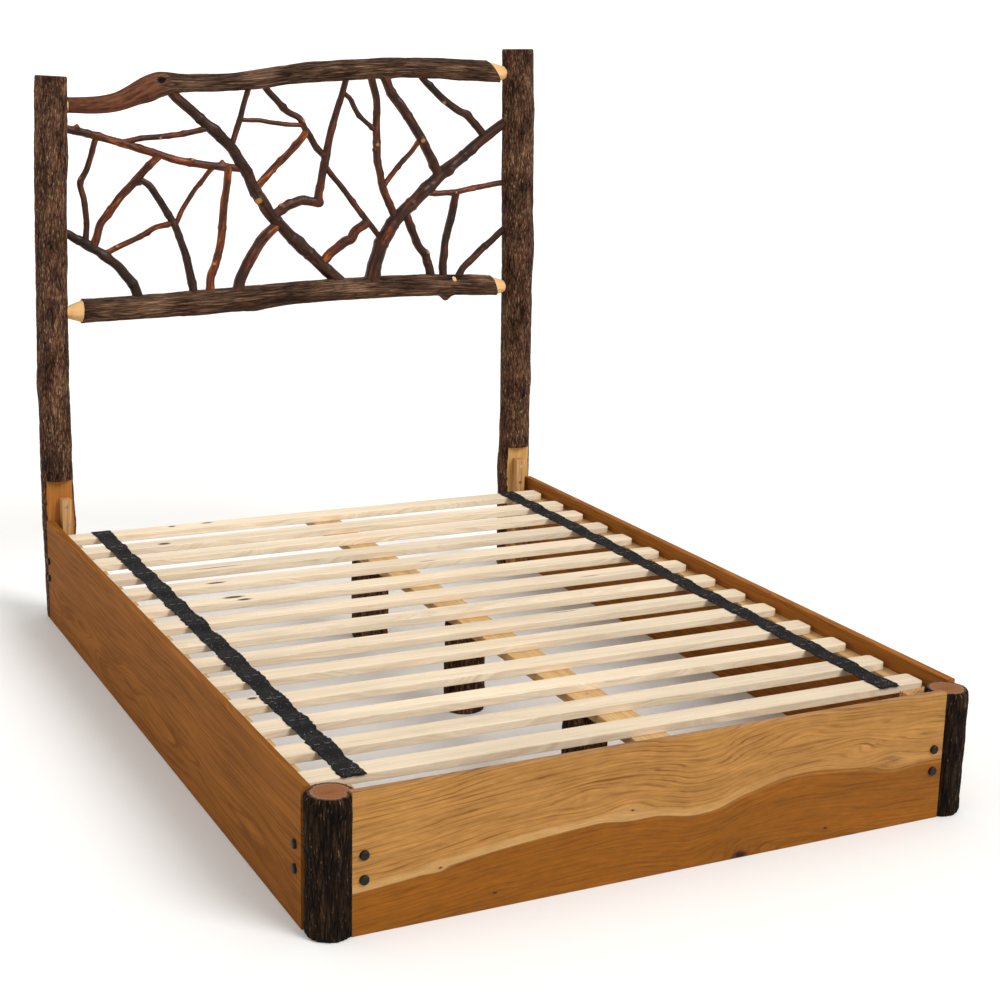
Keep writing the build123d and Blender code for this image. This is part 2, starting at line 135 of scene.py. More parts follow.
class LogBedStage(bpy.types.PropertyGroup):
    floor_colour: colour_setting("Floor", "Pale floor", "#F2F1EF")
    key_strength: bpy.props.FloatProperty(name="Key light", description="Strength of the main light",
                                          default=2.1, min=0.0)
    key_spread: bpy.props.FloatProperty(name="Key softness", description="How wide the main light looks",
                                        default=math.radians(28), min=0.0, subtype="ANGLE")
    surround: bpy.props.FloatProperty(name="Surround", description="Light from all round", default=0.85,
                                      min=0.0)


# ---- node and mesh helpers --------------------------------------------------------------------
# each kind of shader node: its type, the sockets that its values go to in order, what it gives, and
# what it always has
node_kinds = {
    "attribute": ("ShaderNodeAttribute", (), "Vector", {}),
    "bump": ("ShaderNodeBump", ("Height", "Distance", "Strength"), "Normal", {}),
    "cells": ("ShaderNodeMapping", ("Vector", "Scale"), "Vector", {"vector_type": "TEXTURE"}),
    "chance": ("ShaderNodeTexWhiteNoise", ("W",), "Value", {"noise_dimensions": "1D"}),
    "cracks": ("ShaderNodeTexVoronoi", ("Vector",), "Distance",
               {"feature": "DISTANCE_TO_EDGE", "Scale": 1.0}),
    "curve": ("ShaderNodeFloatCurve", ("Value",), 0, {}),
    "join": ("ShaderNodeCombineXYZ", ("X", "Y", "Z"), "Vector", {}),
    "math": ("ShaderNodeMath", (0, 1, 2), 0, {}),
    "mix": ("ShaderNodeMix", (0, 6, 7), 2, {"data_type": "RGBA"}),
    "noise": ("ShaderNodeTexNoise", ("Vector", "Detail", "Roughness"), "Fac",
              {"Scale": 1.0, "Detail": 3.0}),
    "position": ("ShaderNodeTexCoord", (), "Object", {}),
    "ramp": ("ShaderNodeValToRGB", ("Fac",), "Color", {}),
    "range": ("ShaderNodeMapRange", ("Value", "From Min", "From Max", "To Min", "To Max"), 0, {}),
    "split": ("ShaderNodeSeparateXYZ", (0,), ("X", "Y", "Z"), {}),
    "vector math": ("ShaderNodeVectorMath", (0, 1, 2), "Vector", {}),
}


def add(tree, kind, *values, give=None, stops=(), **settings):
    """Adds one shader node with its settings and links, and gives its output socket, or several where
    `give` names them. A value is a number, a colour or another node's socket. "cells" divides by a
    pattern's real size in metres, so that the pattern after it is that large."""
    node_type, sockets, given, always = node_kinds[kind]
    node = tree.nodes.new(node_type)
    for key, value in {**always, **settings}.items():
        if key in node.inputs:
            node.inputs[key].default_value = value
        else:
            setattr(node, key, value)
    for index, (position, colour) in enumerate(stops):
        ramp = node.color_ramp.elements
        stop = ramp[index] if index < 2 else ramp.new(position)
        stop.position, stop.color = position, colour
    for socket, value in zip(sockets, values):
        if isinstance(value, bpy.types.NodeSocket):
            tree.links.new(value, node.inputs[socket])
        else:
            node.inputs[socket].default_value = value
    wanted = given if give is None else give
    return [node.outputs[key] for key in wanted] if isinstance(wanted, tuple) else node.outputs[wanted]


def new_material(name, **surface):
    """A material with one Principled shader; constant values go straight on its sockets."""
    material = bpy.data.materials.new(name)
    material.use_nodes = True
    shader = material.node_tree.nodes["Principled BSDF"]
    for socket, value in surface.items():
        shader.inputs[socket.replace("_", " ")].default_value = value
    return material, material.node_tree, shader


def shade(tree, colour, pattern, low, high, dark, bright):
    """Multiplies a colour by `dark` where the pattern is `low`, up to `bright` where it is `high`."""
    return add(tree, "mix", 1.0, colour, add(tree, "range", pattern, low, high, dark, bright),
               blend_type="MULTIPLY")


def dress(tree, shader, colour, relief):
    """Gives the shader its colour and its fine relief."""
    tree.links.new(colour, shader.inputs["Base Color"])
    tree.links.new(relief, shader.inputs["Normal"])


def make_piece(name, verts, faces, materials, face_material=None, smooth=True, sharp=None, **attributes):
    """A mesh object with per-vertex attributes for its materials."""
    mesh = bpy.data.meshes.new(name)
    mesh.from_pydata([tuple(v) for v in verts], [], faces)
    for material in materials:
        mesh.materials.append(material)
    if face_material is not None:
        mesh.polygons.foreach_set("material_index", np.asarray(face_material, np.int32))
    for key, values in attributes.items():
        values = np.asarray(values, np.float32)
        kind = "FLOAT_VECTOR" if values.ndim == 2 else "FLOAT"
        layer = mesh.attributes.new(key, kind, "POINT")
        layer.data.foreach_set("vector" if values.ndim == 2 else "value", values.ravel())
    mesh.polygons.foreach_set("use_smooth", [smooth] * len(mesh.polygons))
    if sharp:
        mesh.set_sharp_from_angle(angle=math.radians(sharp))
    mesh.validate()
    piece = bpy.data.objects.new(name, mesh)
    bpy.context.scene.collection.objects.link(piece)
    return piece


def place(piece, body, slot, *nodes):
    """Puts a finished piece on its body, in the place of the nodes that it stands for."""
    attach(piece, body)
    if nodes:
        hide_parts(*nodes)
    return piece


def finish_node(name, material):
    """Gives a piece that keeps its own shape its material."""
    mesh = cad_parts[name].data
    mesh.materials.clear()
    mesh.materials.append(material)


# ---- logs -------------------------------------------------------------------------------------
def smooth_line(points, step, breaks=()):
    """Points along the smooth line through a few given points, evenly spaced, with a close pair at each
    place where an edge crosses."""
    given = np.array([tuple(p) for p in points], float)
    chord = np.r_[0, np.cumsum(np.linalg.norm(np.diff(given, axis=0), axis=1))]
    spans = np.diff(chord)
    count = len(given)
    bend = np.zeros((count, 3))
    if count > 2:
        system = np.eye(count)
        pull = np.zeros((count, 3))
        for i in range(1, count - 1):
            system[i, i - 1:i + 2] = spans[i - 1], 2 * (spans[i - 1] + spans[i]), spans[i]
            slopes = (given[i] - given[i - 1]) / spans[i - 1], (given[i + 1] - given[i]) / spans[i]
            pull[i] = 6 * (slopes[1] - slopes[0])
        bend = np.linalg.solve(system, pull)
    fine = np.linspace(0, chord[-1], 40 * count)
    k = np.clip(np.searchsorted(chord, fine, side="right") - 1, 0, count - 2)
    after, before, span = (chord[k + 1] - fine)[:, None], (fine - chord[k])[:, None], spans[k][:, None]
    dense = ((bend[k] * after ** 3 + bend[k + 1] * before ** 3) / (6 * span)
             + (given[k] / span - bend[k] * span / 6) * after
             + (given[k + 1] / span - bend[k + 1] * span / 6) * before)
    along = np.r_[0, np.cumsum(np.linalg.norm(np.diff(dense, axis=0), axis=1))]
    even = np.linspace(0, along[-1], max(int(along[-1] / step), 8) + 1)
    for spot in breaks:
        spot = spot % along[-1]
        even = np.r_[even[np.abs(even - spot) > 0.4 * step], spot - EDGE, spot + EDGE]
    even = np.sort(even)
    return np.stack([np.interp(even, along, dense[:, a]) for a in range(3)], 1), even


def carry_frames(line, facing):
    """Two directions across the line at each point; the first starts near `facing` and never twists."""
    heading = np.gradient(line, axis=0)
    heading /= np.linalg.norm(heading, axis=1)[:, None]
    first = np.array(facing, float)
    side = []
    for t in heading:
        first = first - t * first.dot(t)
        first /= np.linalg.norm(first)
        side.append(first)
    side = np.array(side)
    return side, np.cross(heading, side)


def lumps(space, width, length, seed):
    """Smooth unevenness in a straightened log's own space, about -0.7 to 0.7."""
    offset = Vector((seed * 17.3, seed * 5.1, seed * 9.7))
    return np.array([noise.noise(Vector((x / width, y / width, z / length)) + offset)
                     for x, y, z in space.tolist()])


def plates(space, width, length, seed, wander=0.45, reach=0.32):
    """0 in the cracks between plates of bark and 1 on the plates, in a straightened log's own space."""
    offset = Vector((seed * 17.3, seed * 5.1, seed * 9.7))
    noise.seed_set(WANDER_SEED)     # noise_vector is seeded from the clock unless this is set
    gaps = []
    for x, y, z in space.tolist():
        spot = Vector((x / width, y / width, z / length)) + offset
        near = noise.voronoi(spot + wander * noise.noise_vector(spot * 0.8))[0]
        gaps.append(near[1] - near[0])
    return np.clip(np.array(gaps) / reach, 0, 1) ** 0.7


def knot_shapes(along, angle, radius, knots):
    """How far swellings and cut side shoots stand out, and where they are bare; each knot is (distance
    along, angle, half width, rise, whether it was cut)."""
    height = np.zeros_like(along)
    bare = np.zeros_like(along)
    for spot, turn, reach, rise, cut in knots:
        across = np.abs((angle - math.radians(turn) + math.pi) % (2 * math.pi) - math.pi) * radius
        near = np.sqrt((along - spot) ** 2 + across ** 2) / reach
        if cut:
            height += rise * np.clip(1.5 * (1 - near), 0, 1) ** 0.7
            bare = np.maximum(bare, np.clip((0.55 - near) * 6, 0, 1))
        else:
            height += rise * np.exp(-near ** 2)
    return height, bare


def sweep_log(name, points, radius_at, relief, materials, step, around, knots=(), carve=None, cut=None,
              slant=None, breaks=(), corners=(), rim=3 * MM, tone=None, sharp=50, cap=1):
    """A log or twig swept along a line.

    radius_at(share) gives the radius; relief(space, share) gives the bark's height and how much wear it
    shows, low in its cracks and creases, where the colour is painted dark as shade; carve(angle, radius,
    along) may cut into it and says where it is bare; cut(verts) may saw it flat and says where;
    slant(angle, along) may lean its rings; corners are angles with a sharp edge along the log. Material 0
    is bark, 1 the sawn flats, 2 bare wood; cap is the ends' material.
    """
    line, even = smooth_line(points, step, breaks)
    side, other = carry_frames(line, (0, -1, 0))
    turns = np.linspace(-math.pi, math.pi, around, endpoint=False)
    for corner in corners:
        turns = turns[np.abs(turns - corner) > 0.3 * 2 * math.pi / around]
        turns = np.r_[turns, corner - CORNER, corner + CORNER]
    turns = np.sort(turns)
    around, rings, length = len(turns), len(line), even[-1]
    angle = np.tile(turns, rings)
    along = np.repeat(even, around)
    centre = np.repeat(line, around, 0)
    plain = along
    if slant:
        along = slant(angle, along)
        centre = np.stack([np.interp(along, even, line[:, a]) for a in range(3)], 1)
    share = along / length
    base = radius_at(share)
    space = np.stack([base * np.cos(angle), base * np.sin(angle), along], 1)
    height, worn = relief(space, share)
    swell, bare = knot_shapes(along, angle, base, knots)
    radius = base + height + swell
    hollow = swell < -2 * MM
    # painted shade: a deep hollow, such as a knot hole, gets no wear and no young skin, so that it takes the
    # darkest bark colour
    worn = np.where(hollow, 0.0, worn)
    end_gap = np.minimum(along, length - along)
    radius -= rim * 0.55 * (1 - np.clip(end_gap / rim, 0, 1)) ** 2
    if carve:
        radius, carved = carve(angle, radius, plain)
        bare = np.maximum(bare, carved)
    verts = (centre + np.repeat(side, around, 0) * (radius * np.cos(angle))[:, None]
             + np.repeat(other, around, 0) * (radius * np.sin(angle))[:, None])
    sawn = np.zeros(len(verts))
    if cut:
        verts, sawn = cut(verts)
    tones = np.full(len(verts), 0.0) if tone is None else np.where(hollow, 0.0, tone(share))
    grid = (np.arange(rings - 1)[:, None] * around + np.arange(around)).ravel()
    beside = (np.arange(rings - 1)[:, None] * around + (np.arange(around) + 1) % around).ravel()
    quads = np.stack([grid, beside, beside + around, grid + around], 1)
    is_sawn, is_bare = sawn[quads].sum(1) > 3.5, bare[quads].sum(1) > 3.0 - 1e-6
    kinds = np.where(is_sawn, 1, np.where(is_bare, 2, 0)).tolist()
    faces = quads.tolist()
    verts, space = verts.tolist(), space.tolist()
    worn, bare, tones = worn.tolist(), bare.tolist(), tones.tolist()
    for end in (0, rings - 1):
        ring = list(range(end * around, (end + 1) * around))
        rim_points = [(np.array(verts[v]), space[v]) for v in ring]
        for shrink in CAP_RINGS:
            inner = []
            for spot, own in rim_points:
                inner.append(len(verts))
                verts.append((line[end] + (spot - line[end]) * shrink).tolist())
                space.append([own[0] * shrink, own[1] * shrink, own[2]])
                worn.append(1.0)
                bare.append(1.0)
                tones.append(0.0)
            for j in range(around):
                a, b, c, d = ring[j], ring[(j + 1) % around], inner[(j + 1) % around], inner[j]
                faces.append((a, b, c, d) if end else (b, a, d, c))
                kinds.append(cap)
            ring = inner
        faces.append(tuple(ring) if end else tuple(reversed(ring)))
        kinds.append(cap)
    return make_piece(name, verts, faces, materials, kinds, sharp=sharp, bark_space=space, worn=worn,
                      bare=bare, tone=tones)


# ---- materials --------------------------------------------------------------------------------
def bark_material(name, deep, body, crest, fleck, width, length, grit_length, flecks=0.38,
                  smooth_skin=None):
    """Bark left on the log, dry and rough: near black in the cracks, partly its own darker colour and
    partly painted shade, dark brown on the plates, tan where the crests have weathered, with short pale
    flecks of lichen and torn fibre. Where a log's bark is still young the plates give way to a smooth skin."""
    material, tree, shader = new_material(name, Roughness=0.9, IOR=1.45, Specular_IOR_Level=0.12)
    where = add(tree, "attribute", attribute_name="bark_space")
    worn = add(tree, "attribute", attribute_name="worn", give="Fac")
    sway = add(tree, "noise", add(tree, "cells", where, (12 * MM, 12 * MM, 40 * MM)), 2.0, give="Color")
    bent = add(tree, "vector math", sway, (6 * MM, 6 * MM, 14 * MM), where, operation="MULTIPLY_ADD")
    cells = add(tree, "cells", bent, (width, width, length))
    edge = add(tree, "cracks", cells)
    split = add(tree, "range", edge, 0.0, 0.16)
    grit = add(tree, "noise", add(tree, "cells", where, (2.2 * MM, 2.2 * MM, grit_length)), 5.0, 0.6)
    patch = add(tree, "noise", add(tree, "cells", where, (55 * MM, 55 * MM, 100 * MM)))
    # painted shade: the bark goes to its near black deep colour where the wear value is low, in its cracks
    # and hollows; the paler crests are real weathering
    colour = add(tree, "ramp", worn, stops=((0.0, deep), (0.5, body), (1.0, crest)))
    colour = shade(tree, colour, grit, 0.34, 0.66, 0.55, 1.4)
    colour = shade(tree, colour, patch, 0.35, 0.65, 0.78, 1.16)
    # painted shade: the edges of the bark plates, where the cracks open, are darkened to about a third
    colour = shade(tree, colour, split, 0.0, 1.0, 0.35, 1.0)
    # the real flecks are about 1 mm wide; drawn wider so that they can be seen from a few metres
    specks = add(tree, "noise", add(tree, "cells", where, (2.6 * MM, 2.6 * MM, 12 * MM)), 2.0)
    lit = add(tree, "math", add(tree, "range", specks, 1 - flecks, 1.08 - flecks, 0.0, 0.8), worn,
              operation="MULTIPLY")
    colour = add(tree, "mix", lit, colour, fleck)
    height = add(tree, "math", grit, 0.6, split, operation="MULTIPLY_ADD")
    if smooth_skin:
        tone = add(tree, "attribute", attribute_name="tone", give="Fac")
        streaky = add(tree, "noise", add(tree, "cells", where, (7 * MM, 7 * MM, 45 * MM)), 4.0, 0.6)
        skin = shade(tree, smooth_skin, streaky, 0.35, 0.65, 0.45, 1.55)
        colour = add(tree, "mix", tone, colour, skin)
        height = add(tree, "math", height, add(tree, "range", tone, 0.0, 1.0, 1.0, 0.2),
                     operation="MULTIPLY")
    dress(tree, shader, colour, add(tree, "bump", height, 0.9 * MM))
    return material


def twig_material(look):
    """Young hickory bark, smooth and tight, sealed with a thin clear coat: brown mottled lengthwise with
    red and orange where it is thin, darkened in the creases and low places as painted shade, with a soft
    shine along the top."""
    material, tree, shader = new_material("Hickory twig, bark on, sealed", Roughness=0.36, IOR=1.47,
                                          Specular_IOR_Level=0.18, Coat_Weight=0.07,
                                          Coat_Roughness=0.2)
    where = add(tree, "attribute", attribute_name="bark_space")
    worn, tone, bare = (add(tree, "attribute", attribute_name=key, give="Fac")
                        for key in ("worn", "tone", "bare"))
    mottled = add(tree, "noise", add(tree, "cells", where, (8 * MM, 8 * MM, 60 * MM)), 3.0, 0.55)
    swing = add(tree, "math", tone, 0.42, mottled, operation="MULTIPLY_ADD")
    hues = (look.twig_dark_and_crease_shade, look.twig_brown, look.twig_red, look.twig_orange)
    colour = add(tree, "ramp", swing, stops=[(spot, tuple(hue)) for spot, hue in
                                             zip((0.45, 0.7, 0.88, 1.0), hues)])
    fibre = add(tree, "noise", add(tree, "cells", where, (1.6 * MM, 1.6 * MM, 9 * MM)), 4.0, 0.65)
    colour = shade(tree, colour, fibre, 0.32, 0.68, 0.68, 1.18)
    # painted shade: the creases and low places, where the wear value is low, are darkened towards the dark
    # twig colour
    colour = add(tree, "mix", add(tree, "range", worn, 0.1, 0.6, 0.8, 0.0), colour, tuple(look.twig_dark_and_crease_shade))
    colour = add(tree, "mix", bare, colour, tuple(look.cut_wood))
    dress(tree, shader, colour, add(tree, "bump", fibre, 0.5 * MM))
    return material


def end_grain_material(name, wood, ring_spacing, rim=0.0):
    """A sawn log end, left dry: growth rings close together, a dark reddish heart off the middle, fine
    cracks, and a ragged pinkish band of inner bark round the edge."""
    material, tree, shader = new_material(name, Roughness=0.72, IOR=1.45, Specular_IOR_Level=0.35)
    where = add(tree, "attribute", attribute_name="bark_space")
    flat = add(tree, "vector math", where, (1, 1, 0), operation="MULTIPLY")
    wobble = add(tree, "noise", add(tree, "cells", flat, (22 * MM, 22 * MM, 1)), 2.0)
    out = add(tree, "vector math", flat, operation="LENGTH", give="Value")
    reach = add(tree, "math", wobble, 9 * MM, out, operation="MULTIPLY_ADD")
    rings = add(tree, "math", add(tree, "math", reach, 1 / ring_spacing, operation="MULTIPLY"), 1.0,
                operation="PINGPONG")
    colour = shade(tree, wood, rings, 0.0, 1.0, 0.74, 1.12)
    off = add(tree, "vector math", flat, (3 * MM, -6 * MM, 0), operation="SUBTRACT")
    oval = add(tree, "vector math", off, (1.0, 0.4, 0), operation="MULTIPLY")
    heart = add(tree, "vector math", oval, operation="LENGTH", give="Value")
    core = add(tree, "math", wobble, 8 * MM, heart, operation="MULTIPLY_ADD")
    colour = add(tree, "mix", add(tree, "range", core, 6 * MM, 15 * MM, 0.65, 0.0), colour,
                 linear("#6B3517"))
    if rim:
        torn = add(tree, "noise", add(tree, "cells", flat, (5 * MM, 5 * MM, 1)), 4.0)
        ragged = add(tree, "math", torn, 7 * MM, out, operation="MULTIPLY_ADD")
        colour = add(tree, "mix", add(tree, "range", ragged, rim, rim + 2 * MM), colour, linear("#8C6246"))
        colour = add(tree, "mix", add(tree, "range", ragged, rim + 4 * MM, rim + 6 * MM), colour,
                     linear("#3A2418"))
    grit = add(tree, "noise", add(tree, "cells", where, (2.2 * MM, 2.2 * MM, 2.2 * MM)), 4.0, 0.65)
    colour = shade(tree, colour, grit, 0.3, 0.7, 0.75, 1.2)
    dress(tree, shader, colour, add(tree, "bump", grit, 0.7 * MM, 0.5))
    return material


def grain_lines(tree, run, ring, spacing, length):
    """Growth lines at uneven distances, and the fibre between them, in a board's own grain."""
    grain = add(tree, "join", run, ring, 0.0)
    cells = add(tree, "noise", add(tree, "cells", grain, (length, spacing, 40 * MM)), 4.0, 0.6)
    middle = add(tree, "math", add(tree, "math", cells, 0.5, operation="SUBTRACT"), operation="ABSOLUTE")
    lines = add(tree, "range", middle, 0.005, 0.07, 1.0, 0.0)
    fibre = add(tree, "noise", add(tree, "cells", grain, (0.12, 1.8 * MM, 4 * MM)), 3.0, 0.65)
    return lines, fibre


def board_material(name, order, light, grain, spacing, pith, roughness=0.5, gloss=0.12, contrast=1.0,
                   marks=(), strip_tint=0.0):
    """A sawn board as wood really is: uneven growth lines round a pith outside the board, so that the
    faces show sweeping grain and the ends show arcs. `order` names the axes along, across and through
    the board; `pith` is how far its centre lies across and through it; marks are small dark flaws at
    (along, across, half length, half width)."""
    material, tree, shader = new_material(name, Roughness=roughness, IOR=1.5, Specular_IOR_Level=gloss)
    run, across, through = add(tree, "split", add(tree, "position"), give=tuple(order))
    spot = add(tree, "join", run, across, through)
    own = spot
    if strip_tint:
        number = add(tree, "attribute", attribute_name="strip", give="Fac")
        shift, tint = add(tree, "chance", number, give=("Color", "Value"))
        own = add(tree, "vector math", shift, (0.9, 0.1, 0.06), spot, operation="MULTIPLY_ADD")
    sway = add(tree, "noise", add(tree, "cells", own, (0.5, 0.12, 0.12)), 2.0, 0.45, give="Color")
    moved = add(tree, "vector math", sway, (0, 0.05, 0.05), own, operation="MULTIPLY_ADD")
    lifted = add(tree, "vector math", moved, (0, pith[0], pith[1]), operation="SUBTRACT")
    reach = add(tree, "vector math", add(tree, "vector math", lifted, (0, 1, 1), operation="MULTIPLY"),
                operation="LENGTH", give="Value")
    lines, fibre = grain_lines(tree, run, reach, spacing, 0.6)
    colour = add(tree, "mix", add(tree, "range", lines, 0.0, 1.0, 0.0, 0.75 * contrast), light, grain)
    colour = shade(tree, colour, fibre, 0.3, 0.7, 0.86, 1.12)
    broad = add(tree, "noise", add(tree, "cells", own, (0.4, 35 * MM, 35 * MM)))
    colour = shade(tree, colour, broad, 0.3, 0.7, 0.86, 1.1)
    if strip_tint:
        colour = shade(tree, colour, tint, 0.0, 1.0, 1 - strip_tint, 1 + 0.4 * strip_tint)
    for along, off, half_length, half_width in marks:
        gap = add(tree, "vector math", spot, (along, off, 0), operation="SUBTRACT")
        gap = add(tree, "vector math", gap, (1 / half_length, 1 / half_width, 0), operation="MULTIPLY")
        gap = add(tree, "vector math", gap, operation="LENGTH", give="Value")
        ragged = add(tree, "noise", add(tree, "cells", spot, (6 * MM, 2 * MM, 2 * MM)))
        gap = add(tree, "math", ragged, 0.8, gap, operation="MULTIPLY_ADD")
        colour = add(tree, "mix", add(tree, "range", gap, 1.1, 1.7, 0.92, 0.0), colour, linear("#3A2413"))
    dress(tree, shader, colour, add(tree, "bump", fibre, 0.4 * MM, 0.3))
    return material


def panel_material(look):
    """One wide hickory board, planed and oiled: honey sapwood full of thin soft growth lines, a plain
    pale band, and darker heartwood along the lower edge, with the grain bending round its knots."""
    material, tree, shader = new_material("Hickory panel, planed and oiled", Roughness=0.45, IOR=1.5,
                                          Specular_IOR_Level=0.12)
    along, through, up = add(tree, "split", add(tree, "position"))
    spot = add(tree, "join", along, up, through)
    edge = add(tree, "curve", add(tree, "range", along, -panel_half * MM, panel_half * MM))
    curve = edge.node.mapping.curves[0].points
    shares = [((x + panel_half) / (2 * panel_half), z / panel_rise) for x, z in heartwood_edge]
    for share in shares[1:-1]:
        curve.new(*share)
    curve[0].location, curve[-1].location = shares[0], shares[-1]
    edge.node.mapping.update()
    sway = add(tree, "noise", add(tree, "cells", spot, (0.3, 60 * MM, 0.1)), 3.0)
    level = add(tree, "math", edge, -panel_rise * MM, up, operation="MULTIPLY_ADD")
    apart = add(tree, "math", level, operation="ABSOLUTE")
    free = add(tree, "range", apart, 0.0, 60 * MM, 5 * MM, 26 * MM)
    level = add(tree, "math", add(tree, "math", sway, 0.5, operation="SUBTRACT"), free, level,
                operation="MULTIPLY_ADD")
    gaps = []
    for x, z, reach, core in panel_knots:
        off = add(tree, "vector math", spot, (x * MM, z * MM, 0), operation="SUBTRACT")
        oval = add(tree, "vector math", off, (0.45, 1.0, 0), operation="MULTIPLY")
        gap = add(tree, "vector math", oval, operation="LENGTH", give="Value")
        near = add(tree, "range", gap, 0.0, reach * MM, knot_lift, 0.0, interpolation_type="SMOOTHSTEP")
        drop = add(tree, "math", add(tree, "math", up, z * MM, operation="SUBTRACT"), near,
                   operation="MULTIPLY")
        level = add(tree, "math", level, drop, operation="SUBTRACT")
        if core:
            gaps.append((gap, core * MM))
    tilted = add(tree, "math", through, 0.5, level, operation="MULTIPLY_ADD")
    lines, fibre = grain_lines(tree, along, tilted, 5.5 * MM, 0.4)
    # the dark lines of each year are drawn about 10 mm apart, wider than the real 2 to 4 mm, to show
    uneven = add(tree, "noise", add(tree, "cells", spot, (0.35, 28 * MM, 0.1)))
    wander = add(tree, "math", uneven, 5.0, operation="MULTIPLY")
    years = add(tree, "math", tilted, 1 / (5 * MM), wander, operation="MULTIPLY_ADD")
    years = add(tree, "math", years, 1.0, operation="PINGPONG")
    growth = add(tree, "range", years, 0.0, 0.45, 0.6, 0.0)
    lines = add(tree, "math", lines, 0.35, growth, operation="MULTIPLY_ADD")
    fade = add(tree, "noise", add(tree, "cells", spot, (0.12, 22 * MM, 0.1)), 2.0)
    streak = add(tree, "math", lines, add(tree, "range", fade, 0.35, 0.65, 0.3, 1.0),
                 operation="MULTIPLY")
    upper = add(tree, "mix", streak, tuple(look.panel_light), tuple(look.panel_grain))
    plain = add(tree, "math", add(tree, "range", level, 12 * MM, 22 * MM, 0.85, 0.0),
                add(tree, "range", along, -0.1, 0.3, 1.0, 0.2), operation="MULTIPLY")
    upper = add(tree, "mix", plain, upper, tuple(look.panel_pale))
    lower = add(tree, "mix", add(tree, "math", streak, 0.8, operation="MULTIPLY"), tuple(look.panel_heart),
                linear("#59300D"))
    soft = add(tree, "range", along, 0.0, 0.4, 1.5 * MM, 9 * MM)
    inside = add(tree, "math", level, soft, operation="DIVIDE")
    colour = add(tree, "mix", add(tree, "range", inside, -1.0, 1.0, 1.0, 0.0), upper, lower)
    line = add(tree, "math", level, operation="ABSOLUTE")
    colour = add(tree, "mix", add(tree, "range", line, 0.6 * MM, 2.2 * MM, 0.55, 0.0), colour,
                 linear("#6A3D12"))
    colour = shade(tree, colour, fibre, 0.3, 0.7, 0.82, 1.13)
    stain = add(tree, "noise", add(tree, "cells", spot, (38 * MM, 12 * MM, 0.1)), 4.0, 0.6)
    colour = shade(tree, colour, stain, 0.32, 0.68, 0.86, 1.08)
    broad = add(tree, "noise", add(tree, "cells", spot, (0.35, 40 * MM, 0.1)))
    colour = shade(tree, colour, broad, 0.3, 0.7, 0.88, 1.1)
    for gap, core in gaps:
        ragged = add(tree, "noise", add(tree, "cells", spot, (9 * MM, 4 * MM, 9 * MM)))
        rough = add(tree, "math", ragged, core * 0.8, gap, operation="MULTIPLY_ADD")
        colour = add(tree, "mix", add(tree, "range", rough, core * 0.8, core * 2.6, 0.7, 0.0), colour,
                     linear("#6E3F14"))
        colour = add(tree, "mix", add(tree, "range", rough, core * 0.8, core * 1.5, 0.95, 0.0), colour,
                     linear("#26140A"))
    dress(tree, shader, colour, add(tree, "bump", fibre, 0.3 * MM, 0.25))
    return material


def webbing_material(look):
    """Black polypropylene webbing, plain woven: dull, with cords drawn a little wider than they are so
    that the weave can be seen, and dusty with pale fibres where the slats have rubbed it."""
    material, tree, shader = new_material("Polypropylene webbing, woven", Roughness=0.75, IOR=1.49,
                                          Specular_IOR_Level=0.1,
                                          Sheen_Weight=look.webbing_sheen, Sheen_Roughness=0.4)
    where = add(tree, "attribute", attribute_name="weave")
    pitch = 2 * math.pi / look.thread
    cords = [add(tree, "math", add(tree, "math", axis, pitch, operation="MULTIPLY"), operation="SINE")
             for axis in add(tree, "split", where, give=("X", "Y"))]
    cross = add(tree, "math", *cords, operation="MULTIPLY")
    dust = add(tree, "noise", add(tree, "cells", where, (16 * MM, 16 * MM, 16 * MM)), 5.0, 0.7)
    colour = shade(tree, tuple(look.webbing_black), cross, -1.0, 1.0, 0.55, 1.3)
    colour = add(tree, "mix", add(tree, "range", dust, 0.55, 0.78, 0.0, 0.35), colour, linear("#45403C"))
    lint = add(tree, "noise", add(tree, "cells", where, (3 * MM, 3 * MM, 3 * MM)), 2.0)
    colour = add(tree, "mix", add(tree, "range", lint, 0.69, 0.72, 0.0, 0.9), colour, linear("#C9C4BA"))
    dress(tree, shader, colour, add(tree, "bump", cross, 0.5 * MM, 0.8))
    return material


def metal_material(name, hex_code, metallic, roughness, mottle):
    """Metal with an uneven skin: worn high spots and a faintly pitted surface."""
    material, tree, shader = new_material(name, Metallic=metallic, Roughness=roughness)
    skin = add(tree, "noise", add(tree, "cells", add(tree, "position"), (3 * MM, 3 * MM, 3 * MM)), 4.0)
    colour = shade(tree, linear(hex_code), skin, 0.3, 0.7, 1 - mottle, 1 + mottle)
    dress(tree, shader, colour, add(tree, "bump", skin, 0.2 * MM, 0.3))
    return material


